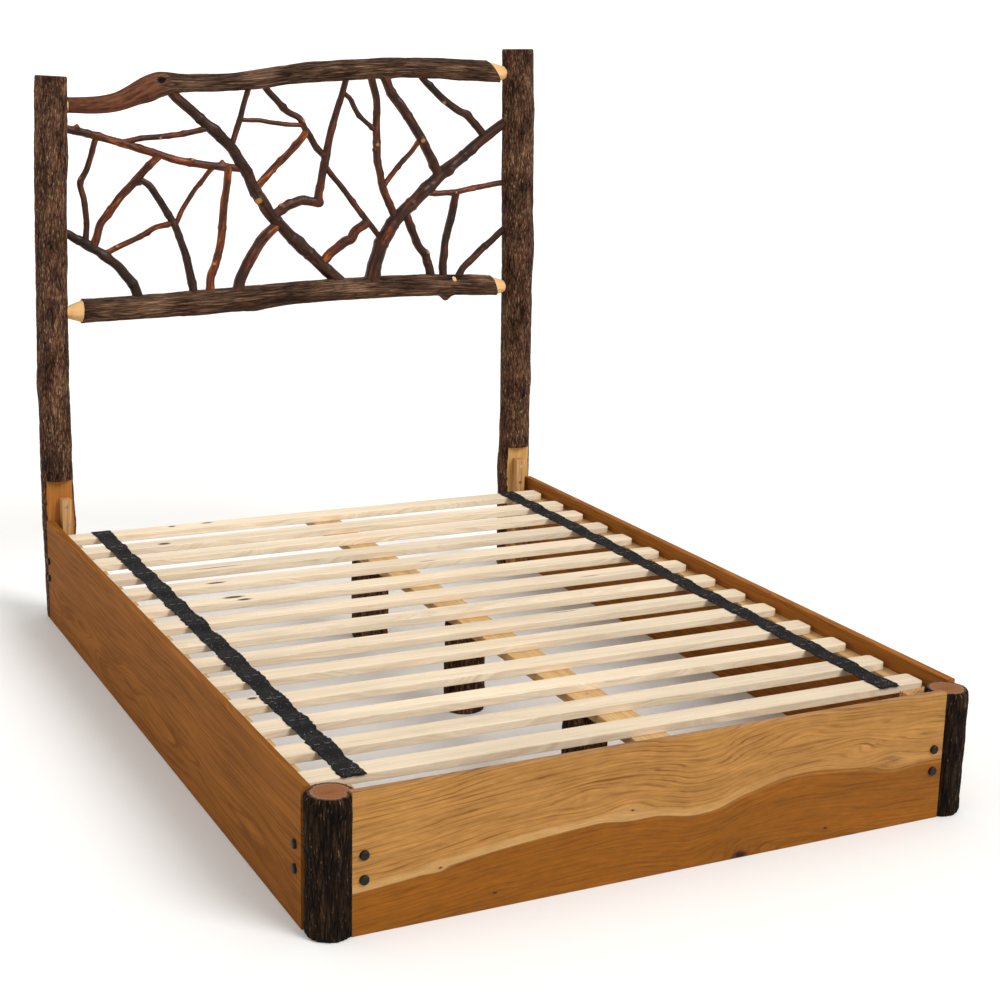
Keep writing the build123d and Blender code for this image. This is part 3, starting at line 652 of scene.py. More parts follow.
def log_materials(look, lumber):
    """The finishes that the logs share, made once and found again by name."""
    if "Hickory bark, weathered" in bpy.data.materials:
        return bpy.data.materials
    deep, body, crest, lichen = (tuple(c) for c in (look.bark_deep, look.bark_body, look.bark_crest,
                                                    look.lichen))
    # the first colour of each bark fills its cracks: partly the bark's own darker colour, partly painted
    # shade
    bark_material("Hickory bark, weathered", deep, body, crest, lichen, width=5.5 * MM,
                  length=30 * MM, grit_length=9 * MM, flecks=0.39)
    bark_material("Hickory bark, deeply split", linear("#070403"), linear("#1E1209"), linear("#382718"),
                  linear("#8A7556"), width=7.5 * MM, length=60 * MM, grit_length=10 * MM, flecks=0.35)
    bark_material("Hickory rail bark, ridged", linear("#22160F"), linear("#5A4131"), linear("#7F624C"),
                  linear("#A58C74"), width=6 * MM, length=120 * MM, grit_length=60 * MM, flecks=0.27,
                  smooth_skin=linear("#5E3A28"))
    end_grain_material("Sawn hickory end", tuple(lumber.end_grain), ring_spacing=2.4 * MM, rim=37 * MM)
    board_material("Whittled hickory", "XZY", tuple(lumber.tenon), linear("#C99457"), spacing=3 * MM,
                   pith=(0.03, 0.04), roughness=0.6, contrast=0.5)
    for side, light, grain in (("left", "#A5692F", "#7F4C1D"), ("right", "#C99B5E", "#A06F38")):
        board_material("Hewn hickory flat, " + side, "ZXY", linear(light), linear(grain),
                       spacing=5 * MM, pith=(0.02, 0.06), roughness=0.65, contrast=0.6)
    return bpy.data.materials


# the foot panel's half length and its height in the pattern, in millimetres; how much of the way up to
# a knot the grain follows it; the heartwood's upper edge; and the knots: place along, place up, how far
# the grain bends round it, and the half width of its dark core
panel_half = 660
panel_rise = 267
knot_lift = 0.88
heartwood_edge = ((-634, 80), (-545, 87), (-450, 99), (-353, 111), (-232, 120), (-87, 126), (-12, 116),
                  (66, 105), (176, 130), (289, 148), (408, 141), (531, 130), (634, 125))
panel_knots = ((161, 6, 75, 9), (358, 26, 26, 2.5), (420, 0, 30, 3), (-469, 99, 20, 1.6),
               (-361, 30, 26, 2.2), (-82, 140, 36, 1.5), (430, 178, 42, 0), (507, 140, 38, 0),
               (600, 200, 45, 0), (-180, 178, 45, 0), (300, 215, 40, 0))


# ---- post and panel geometry ------------------------------------------------------------------
post_radius = {"left": 38.0 * MM, "right": 42.5 * MM}
post_offset = {"left": 22.0 * MM, "right": 29.0 * MM}
post_lean = 19.0 * MM
post_lean_height = {"left": 1390.0 * MM, "right": 1467.0 * MM}
side_sign = {"left": -1, "right": 1}
post_height = {side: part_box("head_post_" + side)[1].z for side in side_sign}
post_flat_height = {"left": 372.0 * MM, "right": 357.0 * MM}
# how far each post bows outward, and how much bark it carries beyond its plain radius, in millimetres
post_swell = {"left": (4.0, 2.5), "right": (0.0, 2.2)}
split_plate = (9 * MM, 75 * MM)      # width and length of a bark plate on the foot posts and legs


def post_axis(side, z):
    """A head post's axis leans inward towards its top."""
    lean = post_lean * (z / post_lean_height[side]) ** 2.5
    return Vector((side_sign[side] * (bed_half - post_radius[side] - lean),
                   head_y + post_offset[side], z))


# (across, rise, radius): thousandths of the panel's width, millimetres, millimetres
top_rail_line = ((50, -49, 19.5), (95, -48, 21), (134, -38, 23), (175, -15, 28), (215, 3, 30), (255, 7, 24),
                 (337, 9, 22.5), (420, 19, 25), (505, 34, 25.5), (592, 43, 27), (680, 51, 26.5),
                 (770, 53, 27), (862, 50, 29), (915, 48, 29))
bottom_rail_line = ((52, -15, 31), (173, -11, 31), (275, -7, 33), (390, 0, 32), (503, 9, 30), (590, 13, 29),
                    (680, 15, 30), (770, 15, 30), (863, 12, 29), (915, 8, 28))
top_rail_height = 1370.0 * MM
bottom_rail_height = 820.0 * MM
panel_wave = 9.0 * MM
panel_wave_count = 5.0

# each twig's radius at its start and end, how red its bark is, and its route in thousandths across
# and up the panel
twigs = {
    "twig_01": (10, 10, 0.75, ((0, 905), (55, 873), (95, 845), (173, 741), (212, 690), (252, 655),
                               (300, 634), (385, 601))),
    "twig_02": (13, 18, 0.35, ((228, 1000), (241, 950), (272, 886), (330, 768), (355, 712), (376, 635),
                               (394, 568), (406, 502), (437, 392), (480, 278), (520, 189), (562, 95),
                               (606, 0))),
    "twig_03": (7.5, 7.5, 0.6, ((130, 802), (174, 787), (213, 769), (253, 773), (316, 800))),
    "twig_04": (7.8, 7.8, 0.55, ((88, 850), (78, 760), (70, 696), (57, 635), (66, 494), (68, 421),
                                 (66, 335))),
    "twig_05": (10, 10.5, 0.7, ((212, 686), (190, 652), (165, 600), (133, 537), (115, 483), (96, 426),
                                (81, 316))),
    "twig_06": (8.5, 11.5, 0.2, ((168, 610), (191, 562), (211, 485), (241, 361), (262, 225), (277, 70),
                                 (281, 0))),
    "twig_07": (10.5, 13.5, 0.2, ((0, 404), (33, 378), (54, 347), (91, 287), (129, 205), (156, 115),
                                  (175, 0))),
    "twig_08": (7.4, 7.4, 0.75, ((98, 270), (125, 297), (164, 327), (202, 364), (238, 380))),
    "twig_09": (6.4, 6.4, 0.7, ((322, 628), (295, 560), (272, 494), (254, 428), (241, 364))),
    "twig_10": (9.7, 11.5, 0.8, ((351, 620), (346, 512), (340, 422), (334, 270), (325, 188), (315, 130),
                                 (311, 0))),
    "twig_11": (7.5, 7.5, 0.5, ((401, 1000), (384, 890), (369, 782), (357, 705))),
    "twig_12": (6, 6, 0.6, ((377, 826), (423, 812), (455, 792), (484, 777), (514, 766))),
    "twig_13": (8.7, 8.7, 0.45, ((417, 1000), (436, 942), (473, 848), (505, 799), (525, 722), (539, 668),
                                 (562, 610))),
    "twig_14": (8, 13.5, 0.5, ((611, 1000), (595, 891), (573, 736), (558, 580), (550, 491), (542, 418),
                               (508, 426), (478, 408), (446, 370))),
    "twig_15": (9.3, 9.8, 0.8, ((521, 742), (497, 680), (463, 614), (439, 568), (406, 496))),
    "twig_16": (8, 8, 0.5, ((556, 588), (578, 520), (600, 458), (644, 327), (686, 208))),
    "twig_17": (13.2, 21, 0.4, ((1000, 800), (961, 752), (915, 681), (869, 598), (817, 514), (772, 427),
                                (735, 358), (709, 303), (681, 206), (667, 110), (660, 0))),
    "twig_18": (13.5, 16, 0.6, ((462, 338), (427, 276), (406, 214), (389, 153), (375, 88), (366, 0))),
    "twig_19": (12.5, 13, 0.7, ((548, 118), (572, 175), (597, 216), (614, 232), (624, 268), (652, 310))),
    "twig_20": (6.7, 6.7, 0.5, ((597, 906), (612, 875), (627, 812), (638, 781), (673, 712))),
    "twig_21": (10.2, 10.6, 0.55, ((657, 1000), (671, 860), (670, 680), (671, 590), (683, 462), (713, 312))),
    "twig_22": (13.3, 13.3, 0.5, ((681, 1000), (704, 891), (746, 767), (773, 680), (800, 575), (815, 509))),
    "twig_23": (7.1, 7.1, 0.7, ((773, 686), (749, 624), (725, 575), (706, 528), (682, 462))),
    "twig_24": (9, 11.3, 0.35, ((762, 1000), (777, 951), (818, 873), (852, 824), (879, 797), (903, 748),
                                (925, 696))),
    "twig_25": (8, 8, 0.7, ((775, 433), (817, 431), (846, 434), (901, 459), (962, 482), (1000, 488))),
    "twig_26": (10.8, 11.3, 0.35, ((857, 437), (847, 343), (837, 268), (829, 198), (824, 100), (825, 0))),
    "twig_27": (10.4, 12.8, 0.45, ((733, 354), (750, 262), (762, 202), (783, 143), (791, 90), (801, 0))),
    "twig_28": (9.8, 9.8, 0.4, ((1000, 315), (960, 250), (917, 172), (871, 78), (848, 0))),
}


def rise_at(line, across):
    return np.interp(across, [p[0] for p in line], [p[1] for p in line]) * MM


def panel_point(across, up):
    """Point of the twig panel, in thousandths between the posts and between the rails."""
    low = bottom_rail_height + rise_at(bottom_rail_line, across)
    high = top_rail_height + rise_at(top_rail_line, across)
    z = float(low + (high - low) * up / 1000)
    left, right = post_axis("left", z), post_axis("right", z)
    wave = (panel_wave * math.sin(math.pi * panel_wave_count * across / 1000)
            * math.sin(math.pi * up / 1000))
    return left + (right - left) * (across / 1000) + Vector((0, wave, 0))


slat_count = 14
slat_width = 55.0 * MM
slat_pitch = 130.5 * MM
first_slat_setback = 79.0 * MM
slat_stray = (0, -4, 13, 6, 8, 2, 2, -2, -2, 5, -2, -2, -3, 0)


def slat_front(i):
    return head_y - first_slat_setback - slat_width - slat_pitch * i + slat_stray[i] * MM


# each twig's nubs: distance along it in millimetres, angle round it (0 faces the foot), and kind
nubs = {
    "twig_01": ((64, -75, "stub"), (124, -75, "bump"), (231, -41, "bump"), (369, -52, "cut"),
                (452, -90, "stub")),
    "twig_02": ((169, -47, "bump"), (285, -13, "bump"), (385, 34, "wide cut"), (550, -90, "bump")),
    "twig_03": ((109, 22, "cut"), (171, -75, "bump")), "twig_04": ((19, 26, "bump"), (115, 57, "cut")),
    "twig_05": ((33, 5, "bump"), (88, -90, "stub"), (201, -51, "bump")),
    "twig_06": ((49, 18, "bump"), (156, -6, "bump")), "twig_07": ((103, -90, "bump"), (154, -90, "bump")),
    "twig_08": ((43, -31, "cut"), (130, 90, "bump")), "twig_09": ((61, -90, "bump"), (103, 15, "bump")),
    "twig_10": ((35, -8, "bump"), (256, 39, "cut")), "twig_11": ((107, -10, "bump"),),
    "twig_13": ((98, -90, "bump"), (162, -24, "cut"), (206, -14, "bump")),
    "twig_14": ((151, 15, "bump"), (233, 70, "stub"), (354, -55, "stub"), (458, 75, "cut")),
    "twig_15": ((49, 90, "bump"), (108, 90, "bump")), "twig_16": ((131, -66, "bump"), (191, 24, "bump")),
    "twig_17": ((256, -24, "bump"), (359, 39, "bump"), (507, 26, "bump")),
    "twig_18": ((54, 9, "bump"), (121, 25, "bump")), "twig_19": ((94, 10, "bump"), (123, -1, "bump")),
    "twig_20": ((78, 90, "bump"), (126, 90, "bump")),
    "twig_21": ((200, 13, "cut"), (215, 53, "stub"), (325, -20, "bump")),
    "twig_22": ((111, -5, "bump"), (225, 16, "cut"), (289, 2, "bump")), "twig_23": ((105, -76, "bump"),),
    "twig_24": ((60, -23, "bump"), (121, 40, "cut"), (204, -90, "bump")),
    "twig_25": ((103, -4, "cut"), (182, 8, "bump")), "twig_26": ((79, 6, "bump"), (178, 6, "bump")),
    "twig_27": ((50, -90, "bump"), (137, -41, "cut")), "twig_28": ((144, 9, "bump"),),
}


# ---- operators: one for each piece or group of like pieces ------------------------------------
def plumb_line(centre, height):
    """The axis of a log that stands straight up."""
    return [Vector((centre.x, centre.y, height * share)) for share in (0, 0.5, 1)]


def upright_log(node, axis, radius, seed, materials, width, length, depth, rim, **settings):
    """A log that stands on the floor along `axis`. Its bark has plates `width` across and `length` long
    with cracks `depth` deep, its ends are worn over `rim`, and `seed` makes its unevenness its own."""
    def radius_at(share):
        return radius * (0.992 + 0.014 * np.sin(share * 8 + seed * 2)
                         + 0.008 * np.sin(share * 21 + seed))

    def relief(space, share):
        plate = plates(space, width, length, seed)
        small = plates(space, width * 0.5, length * 0.4, seed + 40)
        swell = lumps(space, 28 * MM, 60 * MM, seed + 80)
        high = -depth * ((1 - plate) + 0.35 * (1 - small)) + 1.6 * MM * swell
        # the second value, the bark's wear, is low in the cracks, where the colour is painted dark as shade
        return high, np.clip(0.12 + 0.75 * plate * (0.55 + 0.45 * small) + 0.45 * swell, 0, 1)

    piece = sweep_log(node + "_bark", axis, radius_at, relief, materials, rim=rim, **settings)
    return place(piece, BED, "bark_log", node)


class LOGBED_OT_head_posts(bpy.types.Operator):
    """Bark-covered head posts, with the flats that the side rails butt against"""
    bl_idname = "logbed.head_posts"
    bl_label = "Head posts"

    # (height, angle, half width, rise, cut wood) of each post's swellings; 0 faces the foot, 90 the right
    knots = {"left": ((0.26, 100, 45, 4, False), (0.62, -70, 42, 5, False), (0.94, 20, 38, 4, False),
                      (1.20, 60, 40, 3, False), (1.28, -20, 26, 3, False), (0.47, 25, 30, 4, False),
                      (1.07, -35, 14, 5, False)),
             "right": ((0.93, 90, 55, 6, False), (0.55, 40, 40, 3, False), (1.15, -60, 40, 4, False),
                       (1.31, 95, 40, 4, False), (0.30, -95, 45, 4, False), (0.72, 10, 20, 5, False),
                       (1.02, -10, 12, 4, False), (1.38, -20, 22, 4, False))}

    def execute(self, context):
        look = context.scene.log_bed_bark
        finish = log_materials(look, context.scene.log_bed_lumber)
        for number, side in enumerate(side_sign):
            flat = post_flat_height[side]
            half_turn = math.acos(post_offset[side] / post_radius[side])

            def saw_flat(verts):
                cut = (verts[:, 2] < flat) & (verts[:, 1] < head_y)
                verts[cut, 1] = head_y
                return verts, cut.astype(float)

            shift = Vector((side_sign[side] * post_swell[side][0] * MM, 0, 0))
            axis = [post_axis(side, post_height[side] * share) + shift * math.sin(math.pi * share)
                    for share in (0, 0.25, 0.5, 0.75, 1)]
            knots = [(z, turn, wide * MM, rise * MM, cut)
                     for z, turn, wide, rise, cut in self.knots[side]]
            upright_log("head_post_" + side, axis, post_radius[side] + post_swell[side][1] * MM,
                        3 + number, [finish["Hickory bark, weathered"],
                                     finish["Hewn hickory flat, " + side], finish["Sawn hickory end"]],
                        look.plate_width, look.plate_length, look.post_cracks, rim=4 * MM,
                        step=4 * MM, around=132, knots=knots, cut=saw_flat, breaks=(flat,),
                        corners=(-half_turn, half_turn), cap=2)
        return {"FINISHED"}


class LOGBED_OT_head_rails(bpy.types.Operator):
    """The two headboard rails, bark on, with whittled ends that go into the posts"""
    bl_idname = "logbed.head_rails"
    bl_label = "Headboard rails"

    # (share of the length, angle, half width, rise, cut wood); 90 faces down
    knots = {"head_rail_top": ((0.215, -30, 30, 6, False), (0.228, -28, 12, -13, False),
                               (0.20, 70, 26, 5, False), (0.55, -60, 26, 4, False),
                               (0.72, 80, 24, 4, False)),
             "head_rail_bottom": ((0.86, 95, 15, 16, False), (0.87, -40, 18, 3, True),
                                  (0.42, 60, 30, 4, False), (0.6, -80, 30, 3, False))}

    # bare wood beyond each post's face, and how far the bark's edge leans, at the left and right ends,
    # in millimetres
    whittled = {"head_rail_top": (3, 36), "head_rail_bottom": (34, 34)}
    oblique = {"head_rail_top": (0, 22), "head_rail_bottom": (3, 11)}

    def execute(self, context):
        look = context.scene.log_bed_bark
        finish = log_materials(look, context.scene.log_bed_lumber)
        ring_step = 3.5 * MM
        for number, (node, line, up) in enumerate((("head_rail_top", top_rail_line, 1000),
                                                   ("head_rail_bottom", bottom_rail_line, 0))):
            inner = [panel_point(across, up) for across, rise, radius in line]
            points = [inner[0] + (inner[0] - inner[1]).normalized() * RAIL_OVERRUN] + inner
            points.append(inner[-1] + (inner[-1] - inner[-2]).normalized() * RAIL_OVERRUN)
            walk = np.r_[0, np.cumsum([(b - a).length for a, b in zip(points, points[1:])])]
            radii = [line[0][2]] + [radius for across, rise, radius in line] + [line[-1][2]]
            mouths = [RAIL_OVERRUN - (post_axis(side, end.z) - end).length + post_radius[side]
                      for side, end in (("left", inner[0]), ("right", inner[-1]))]
            length = smooth_line(points, ring_step)[1][-1]
            # where the bark stops, beyond each post's face, and how far that edge leans
            edges = [mouth + cut * MM for mouth, cut in zip(mouths, self.whittled[node])]
            leans = [lean * MM for lean in self.oblique[node]]
            # the share of its length over which the bark is still young and smooth
            young = 0.25 if node == "head_rail_top" else -1.0

            def radius_at(share):
                return np.interp(share, walk / walk[-1], radii) * MM * 1.02

            def skin(share):
                return np.clip((young - share) * 22, 0, 1)

            def relief(space, share):
                rough = 1 - 0.9 * skin(share)
                plate = plates(space, 8 * MM, 120 * MM, 21 + number, 0.6)
                small = plates(space, 4 * MM, 40 * MM, 27 + number, 0.6)
                swell = lumps(space, 32 * MM, 80 * MM, 31 + number)
                high = -look.rail_cracks * rough * ((1 - plate) + 0.4 * (1 - small)) + 1.8 * MM * swell
                # the wear value is low in the cracks, where the colour is painted dark as shade
                worn = 0.15 + 0.7 * plate * (0.5 + 0.5 * small) + 0.4 * swell
                return high, np.clip(worn * rough + 0.75 * (1 - rough), 0, 1)

            def whittle(angle, radius, along):
                facet = 2 * math.pi / 9
                flat = 0.5 + 0.5 / np.cos((angle + math.pi) % facet - facet / 2)
                bare = np.zeros_like(radius)
                for gap, mouth, edge, full in ((along, mouths[0], edges[0], radii[0]),
                                               (length - along, mouths[1], edges[1], radii[-1])):
                    rise = np.clip((gap - mouth) / (edge - mouth), 0, 1)
                    cone = TENON_RADIUS + ((full - 3.5) * MM - TENON_RADIUS) * rise ** 0.85
                    bare = np.where(gap < edge, 1.0, bare)
                    radius = np.where(gap < edge, np.minimum(radius - 1.5 * MM, cone * flat), radius)
                return radius, bare

            def slant(angle, along):
                for end, edge, lean in ((0, edges[0], leans[0]), (1, edges[1], leans[1])):
                    gap = length - along if end else along
                    near = np.clip(1 - np.abs(gap - edge) / (1.6 * edge), 0, 1)
                    along = along + (-1 if end else 1) * -lean * np.sin(angle) * near
                return along

            knots = [(share * length, turn, wide * MM, rise * MM, cut)
                     for share, turn, wide, rise, cut in self.knots[node]]
            piece = sweep_log(node + "_bark", points, radius_at, relief,
                              [finish["Hickory rail bark, ridged"], finish["Whittled hickory"],
                               finish["Whittled hickory"]],
                              step=ring_step, around=104, knots=knots, carve=whittle, slant=slant,
                              breaks=(edges[0], -edges[1]), tone=skin)
            place(piece, BED, "bark_rail", node)
        return {"FINISHED"}


class LOGBED_OT_twigs(bpy.types.Operator):
    """The crooked twigs that fill the headboard, each with its own nubs and bark"""
    bl_idname = "logbed.twigs"
    bl_label = "Headboard twigs"

    # how wide and how far out each kind of nub is, in twig radii, and whether it was cut through
    kinds = {"bump": (0.95, 0.30, False), "cut": (0.85, 0.28, True), "wide cut": (1.1, 0.4, True),
             "stub": (0.62, 0.85, False)}

    def execute(self, context):
        bark = twig_material(context.scene.log_bed_twigs)
        cut = log_materials(context.scene.log_bed_bark, context.scene.log_bed_lumber)["Whittled hickory"]
        for number, (name, (start, end, tone, route)) in enumerate(twigs.items()):
            chance = random.Random(100 + number)
            points = [panel_point(u, v) for u, v in route]
            length = sum((b - a).length for a, b in zip(points, points[1:]))
            mean = (start + end) / 2 * MM
            # slight collars, 45 to 100 mm apart, where side shoots once grew
            collars, spot = [], 40 * MM * chance.random()
            while spot < length:
                collars.append((spot, chance.uniform(0.04, 0.14)))
                spot += chance.uniform(45, 100) * MM

            def radius_at(share):
                swell = 1 + 0.03 * np.sin(share * length / 0.03 + number)
                for spot, rise in collars:
                    swell += rise * np.exp(-((share * length - spot) / (6 * MM)) ** 2)
                # the thick one spreads where it meets the lower rail
                flare = 0.3 * np.clip(share * 9 - 8, 0, 1) ** 2 if name == "twig_17" else 0.0
                return (start + (end - start) * share) * MM * (swell + flare)

            def relief(space, share):
                swell = lumps(space, 16 * MM, 45 * MM, 40 + number)
                ripple = lumps(space, 5 * MM, 14 * MM, 90 + number)
                crease = np.clip(1 - np.abs(lumps(space, 6 * MM, 34 * MM, 140 + number)) / 0.1, 0, 1)
                high = mean * (0.07 * swell + 0.02 * ripple) - 0.35 * MM * crease
                # the second value is low in the creases, where the colour is painted dark as shade
                return high, np.clip(0.75 - 0.6 * crease + 0.7 * swell + 0.3 * ripple, 0, 1)

            knots = []
            for spot, turn, kind in nubs.get(name, ()):
                reach, rise, open_wood = self.kinds[kind]
                knots.append((spot * MM, turn, mean * reach, mean * rise, open_wood))
                knots.append((spot * MM, turn + 180, mean * 1.2, mean * 0.1, False))
            # a low swelling about every 160 mm
            for _ in range(int(length / 0.16)):
                knots.append((length * chance.uniform(0.08, 0.92), chance.uniform(-170, 170),
                              mean * chance.uniform(0.5, 0.9), mean * chance.uniform(0.1, 0.28), False))
            kinked = [points[0]]
            for before, after in zip(points, points[1:]):
                lean = Vector([chance.uniform(-1, 1) for a in range(3)]) * 1.0 * MM
                kinked += [before.lerp(after, 0.5) + lean, after]
            piece = sweep_log(name + "_bark", kinked, radius_at, relief, [bark, cut, bark],
                              step=2.6 * MM, around=30 if mean < 9 * MM else 42, knots=knots,
                              rim=1.5 * MM, tone=lambda share: tone, sharp=60)
            place(piece, BED, "twig_bark", name)
        return {"FINISHED"}


class LOGBED_OT_foot_posts(bpy.types.Operator):
    """Two short logs at the foot, with deeply split bark, sawn tops and notches for the boards"""
    bl_idname = "logbed.foot_posts"
    bl_label = "Foot posts"

    def execute(self, context):
        look = context.scene.log_bed_bark
        finish = log_materials(look, context.scene.log_bed_lumber)
        for number, (side, sign) in enumerate(side_sign.items()):
            low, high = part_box("foot_post_" + side)
            radius = (high.y - low.y) / 2
            centre = Vector((sign * (bed_half + 1 * MM - radius), low.y + radius, 0))
            # how far from the log's middle the two boards' notches start
            inward, front = sign * centre.x - panel_high.x, centre.y - foot_inner_y
            outward, back = rail_inner - sign * centre.x, rail_front_y - centre.y
            corners = [math.atan2(x, y) for x, y in (
                (-sign * inward, front), (sign * outward, -back),
                (-sign * inward, math.sqrt(radius ** 2 - inward ** 2)),
                (-sign * math.sqrt(radius ** 2 - front ** 2), front),
                (sign * outward, -math.sqrt(radius ** 2 - outward ** 2)),
                (sign * math.sqrt(radius ** 2 - back ** 2), -back))]

            def notch(angle, radius, along):
                east, south = sign * np.sin(angle), np.cos(angle)
                limit = np.full_like(radius, 1.0)
                for first, second, wide, deep in ((-east, south, inward, front),
                                                  (east, -south, outward, back)):
                    inside = (first > 1e-6) & (second > 1e-6)
                    reach = np.maximum(wide / np.maximum(first, 1e-6), deep / np.maximum(second, 1e-6))
                    limit = np.where(inside, np.minimum(limit, reach), limit)
                return np.minimum(radius, limit), (limit < radius).astype(float)

            upright_log("foot_post_" + side, plumb_line(centre, high.z), radius + 1.2 * MM, 51 + number,
                        [finish["Hickory bark, deeply split"], finish["Sawn hickory end"],
                         finish["Sawn hickory end"]],
                        *split_plate, look.foot_cracks, rim=7 * MM, step=3 * MM, around=144,
                        carve=notch, corners=corners)
        return {"FINISHED"}


class LOGBED_OT_centre_legs(bpy.types.Operator):
    """Three short bark logs that stand under the centre beam"""
    bl_idname = "logbed.centre_legs"
    bl_label = "Centre legs"

    def execute(self, context):
        look = context.scene.log_bed_bark
        finish = log_materials(look, context.scene.log_bed_lumber)
        for number in (1, 2, 3):
            node = "centre_leg_%d" % number
            low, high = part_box(node)
            upright_log(node, plumb_line((low + high) / 2, high.z), (high.x - low.x) / 2, 70 + number,
                        [finish["Hickory bark, weathered"], finish["Sawn hickory end"],
                         finish["Sawn hickory end"]],
                        *split_plate, look.foot_cracks, rim=4 * MM, step=5 * MM, around=96)
        return {"FINISHED"}


class LOGBED_OT_boards(bpy.types.Operator):
    """Planed boards: the foot panel and both side rails"""
    bl_idname = "logbed.boards"
    bl_label = "Foot panel and side rails"

    def execute(self, context):
        look = context.scene.log_bed_lumber
        finish_node("foot_panel", panel_material(look))
        for side, sign in side_sign.items():
            # painted shade: the left board's wood is darkened, since that side of the bed faces away from
            # the key light
            light, grain = ([c * shade for c in colour[:3]] + [1.0] for colour, shade in
                            ((look.rail_light, 0.78 if sign < 0 else 1.0),
                             (look.rail_grain, 0.85 if sign < 0 else 1.0)))
            wood = board_material("Hickory rail, planed and oiled, " + side, "YZX", light, grain,
                                  spacing=6 * MM, pith=(0.10, sign * 0.78), roughness=0.6, gloss=0.02,
                                  contrast=0.7)
            finish_node("side_rail_" + side, wood)
        return {"FINISHED"}


class LOGBED_OT_blocks(bpy.types.Operator):
    """Sawn pine blocks, cleats and the centre beam that carry the slats"""
    bl_idname = "logbed.blocks"
    bl_label = "Blocks, cleats and beam"

    def execute(self, context):
        upright = board_material("Pine block, sawn", "ZXY", linear("#C79B66"), linear("#976737"),
                                 spacing=4 * MM, pith=(0.02, 0.05), roughness=0.7)
        lengthwise = board_material("Pine strip, sawn", "YXZ", linear("#C9A672"), linear("#A77A48"),
                                    spacing=4.5 * MM, pith=(0.6, 0.15), roughness=0.7, contrast=0.8)
        for name in ("foot_block_left", "foot_block_right", "head_block_left", "head_block_right"):
            finish_node(name, upright)
        for name in ("slat_cleat_left", "slat_cleat_right", "centre_beam"):
            finish_node(name, lengthwise)
        return {"FINISHED"}


class LOGBED_OT_slats(bpy.types.Operator):
    """Fourteen sawn pine slats with eased edges and rounded corners"""
    bl_idname = "logbed.slats"
    bl_label = "Slats"

    # dark streaks and splits: place along, how far from the head, half length, half width
    marks = ((-400, 94, 9, 6), (-305, 92, 15, 5), (-466, 250, 15, 9), (-450, 625, 22, 6),
             (-448, 748, 24, 8), (-430, 774, 16, 7), (-410, 502, 62, 2.2), (-623, 1396, 10, 6),
             (212, 1134, 34, 1.8), (88, 640, 22, 1.8), (402, 905, 26, 1.6))

    def execute(self, context):
        look = context.scene.log_bed_lumber
        marks = [(x * MM, head_y - y * MM, a * MM, b * MM) for x, y, a, b in self.marks]
        wood = board_material("Pine slat, planed", "XYZ", tuple(look.slat_light), tuple(look.slat_grain),
                              spacing=4 * MM, pith=(0.02, 0.19), roughness=0.62, contrast=0.6,
                              strip_tint=0.1, marks=marks)
        chance = random.Random(5)
        verts, faces, strip = [], [], []
        half, corner, ease = slats_high.x, 7 * MM, 1.6 * MM
        low_z, thick = slats_low.z, slats_high.z - slats_low.z
        # close stations round each corner, and even ones between
        near = [half - corner * share for share in (0, 0.08, 0.3, 0.6, 1.0)]
        middle = half - 30 * MM
        stations = [-x for x in near] + list(np.linspace(-middle, middle, 21)) + near[::-1]
        for i in range(slat_count):
            bow = chance.uniform(-0.8, 0.8) * MM
            section = [(0, ease), (ease * 0.3, ease * 0.3), (ease, 0)]
            section += [(slat_width - y, z) for y, z in reversed(section)]
            section += [(y, thick - z) for y, z in reversed(section)]
            start, count = len(verts), len(section)
            for x in stations:
                inset = max(0.0, corner - (half - abs(x)))
                pinch = corner - math.sqrt(max(corner ** 2 - inset ** 2, 0))
                drift = bow * math.cos(x / half * 1.5)
                for y, z in section:
                    toward = max(-1.0, min(1.0, (0.5 - y / slat_width) * 2.2))
                    verts.append((x, slat_front(i) + y + toward * pinch + drift, low_z + z))
                    strip.append(i + 0.5)
            for s in range(len(stations) - 1):
                for j in range(count):
                    a, b = start + s * count + j, start + s * count + (j + 1) % count
                    faces.append((a, b, b + count, a + count))
            faces.append(tuple(start + j for j in reversed(range(count))))
            faces.append(tuple(start + (len(stations) - 1) * count + j for j in range(count)))
        piece = make_piece("slats_pine", verts, faces, [wood], smooth=False, strip=strip)
        place(piece, ROLL, "slat_pine", "slats")
        return {"FINISHED"}


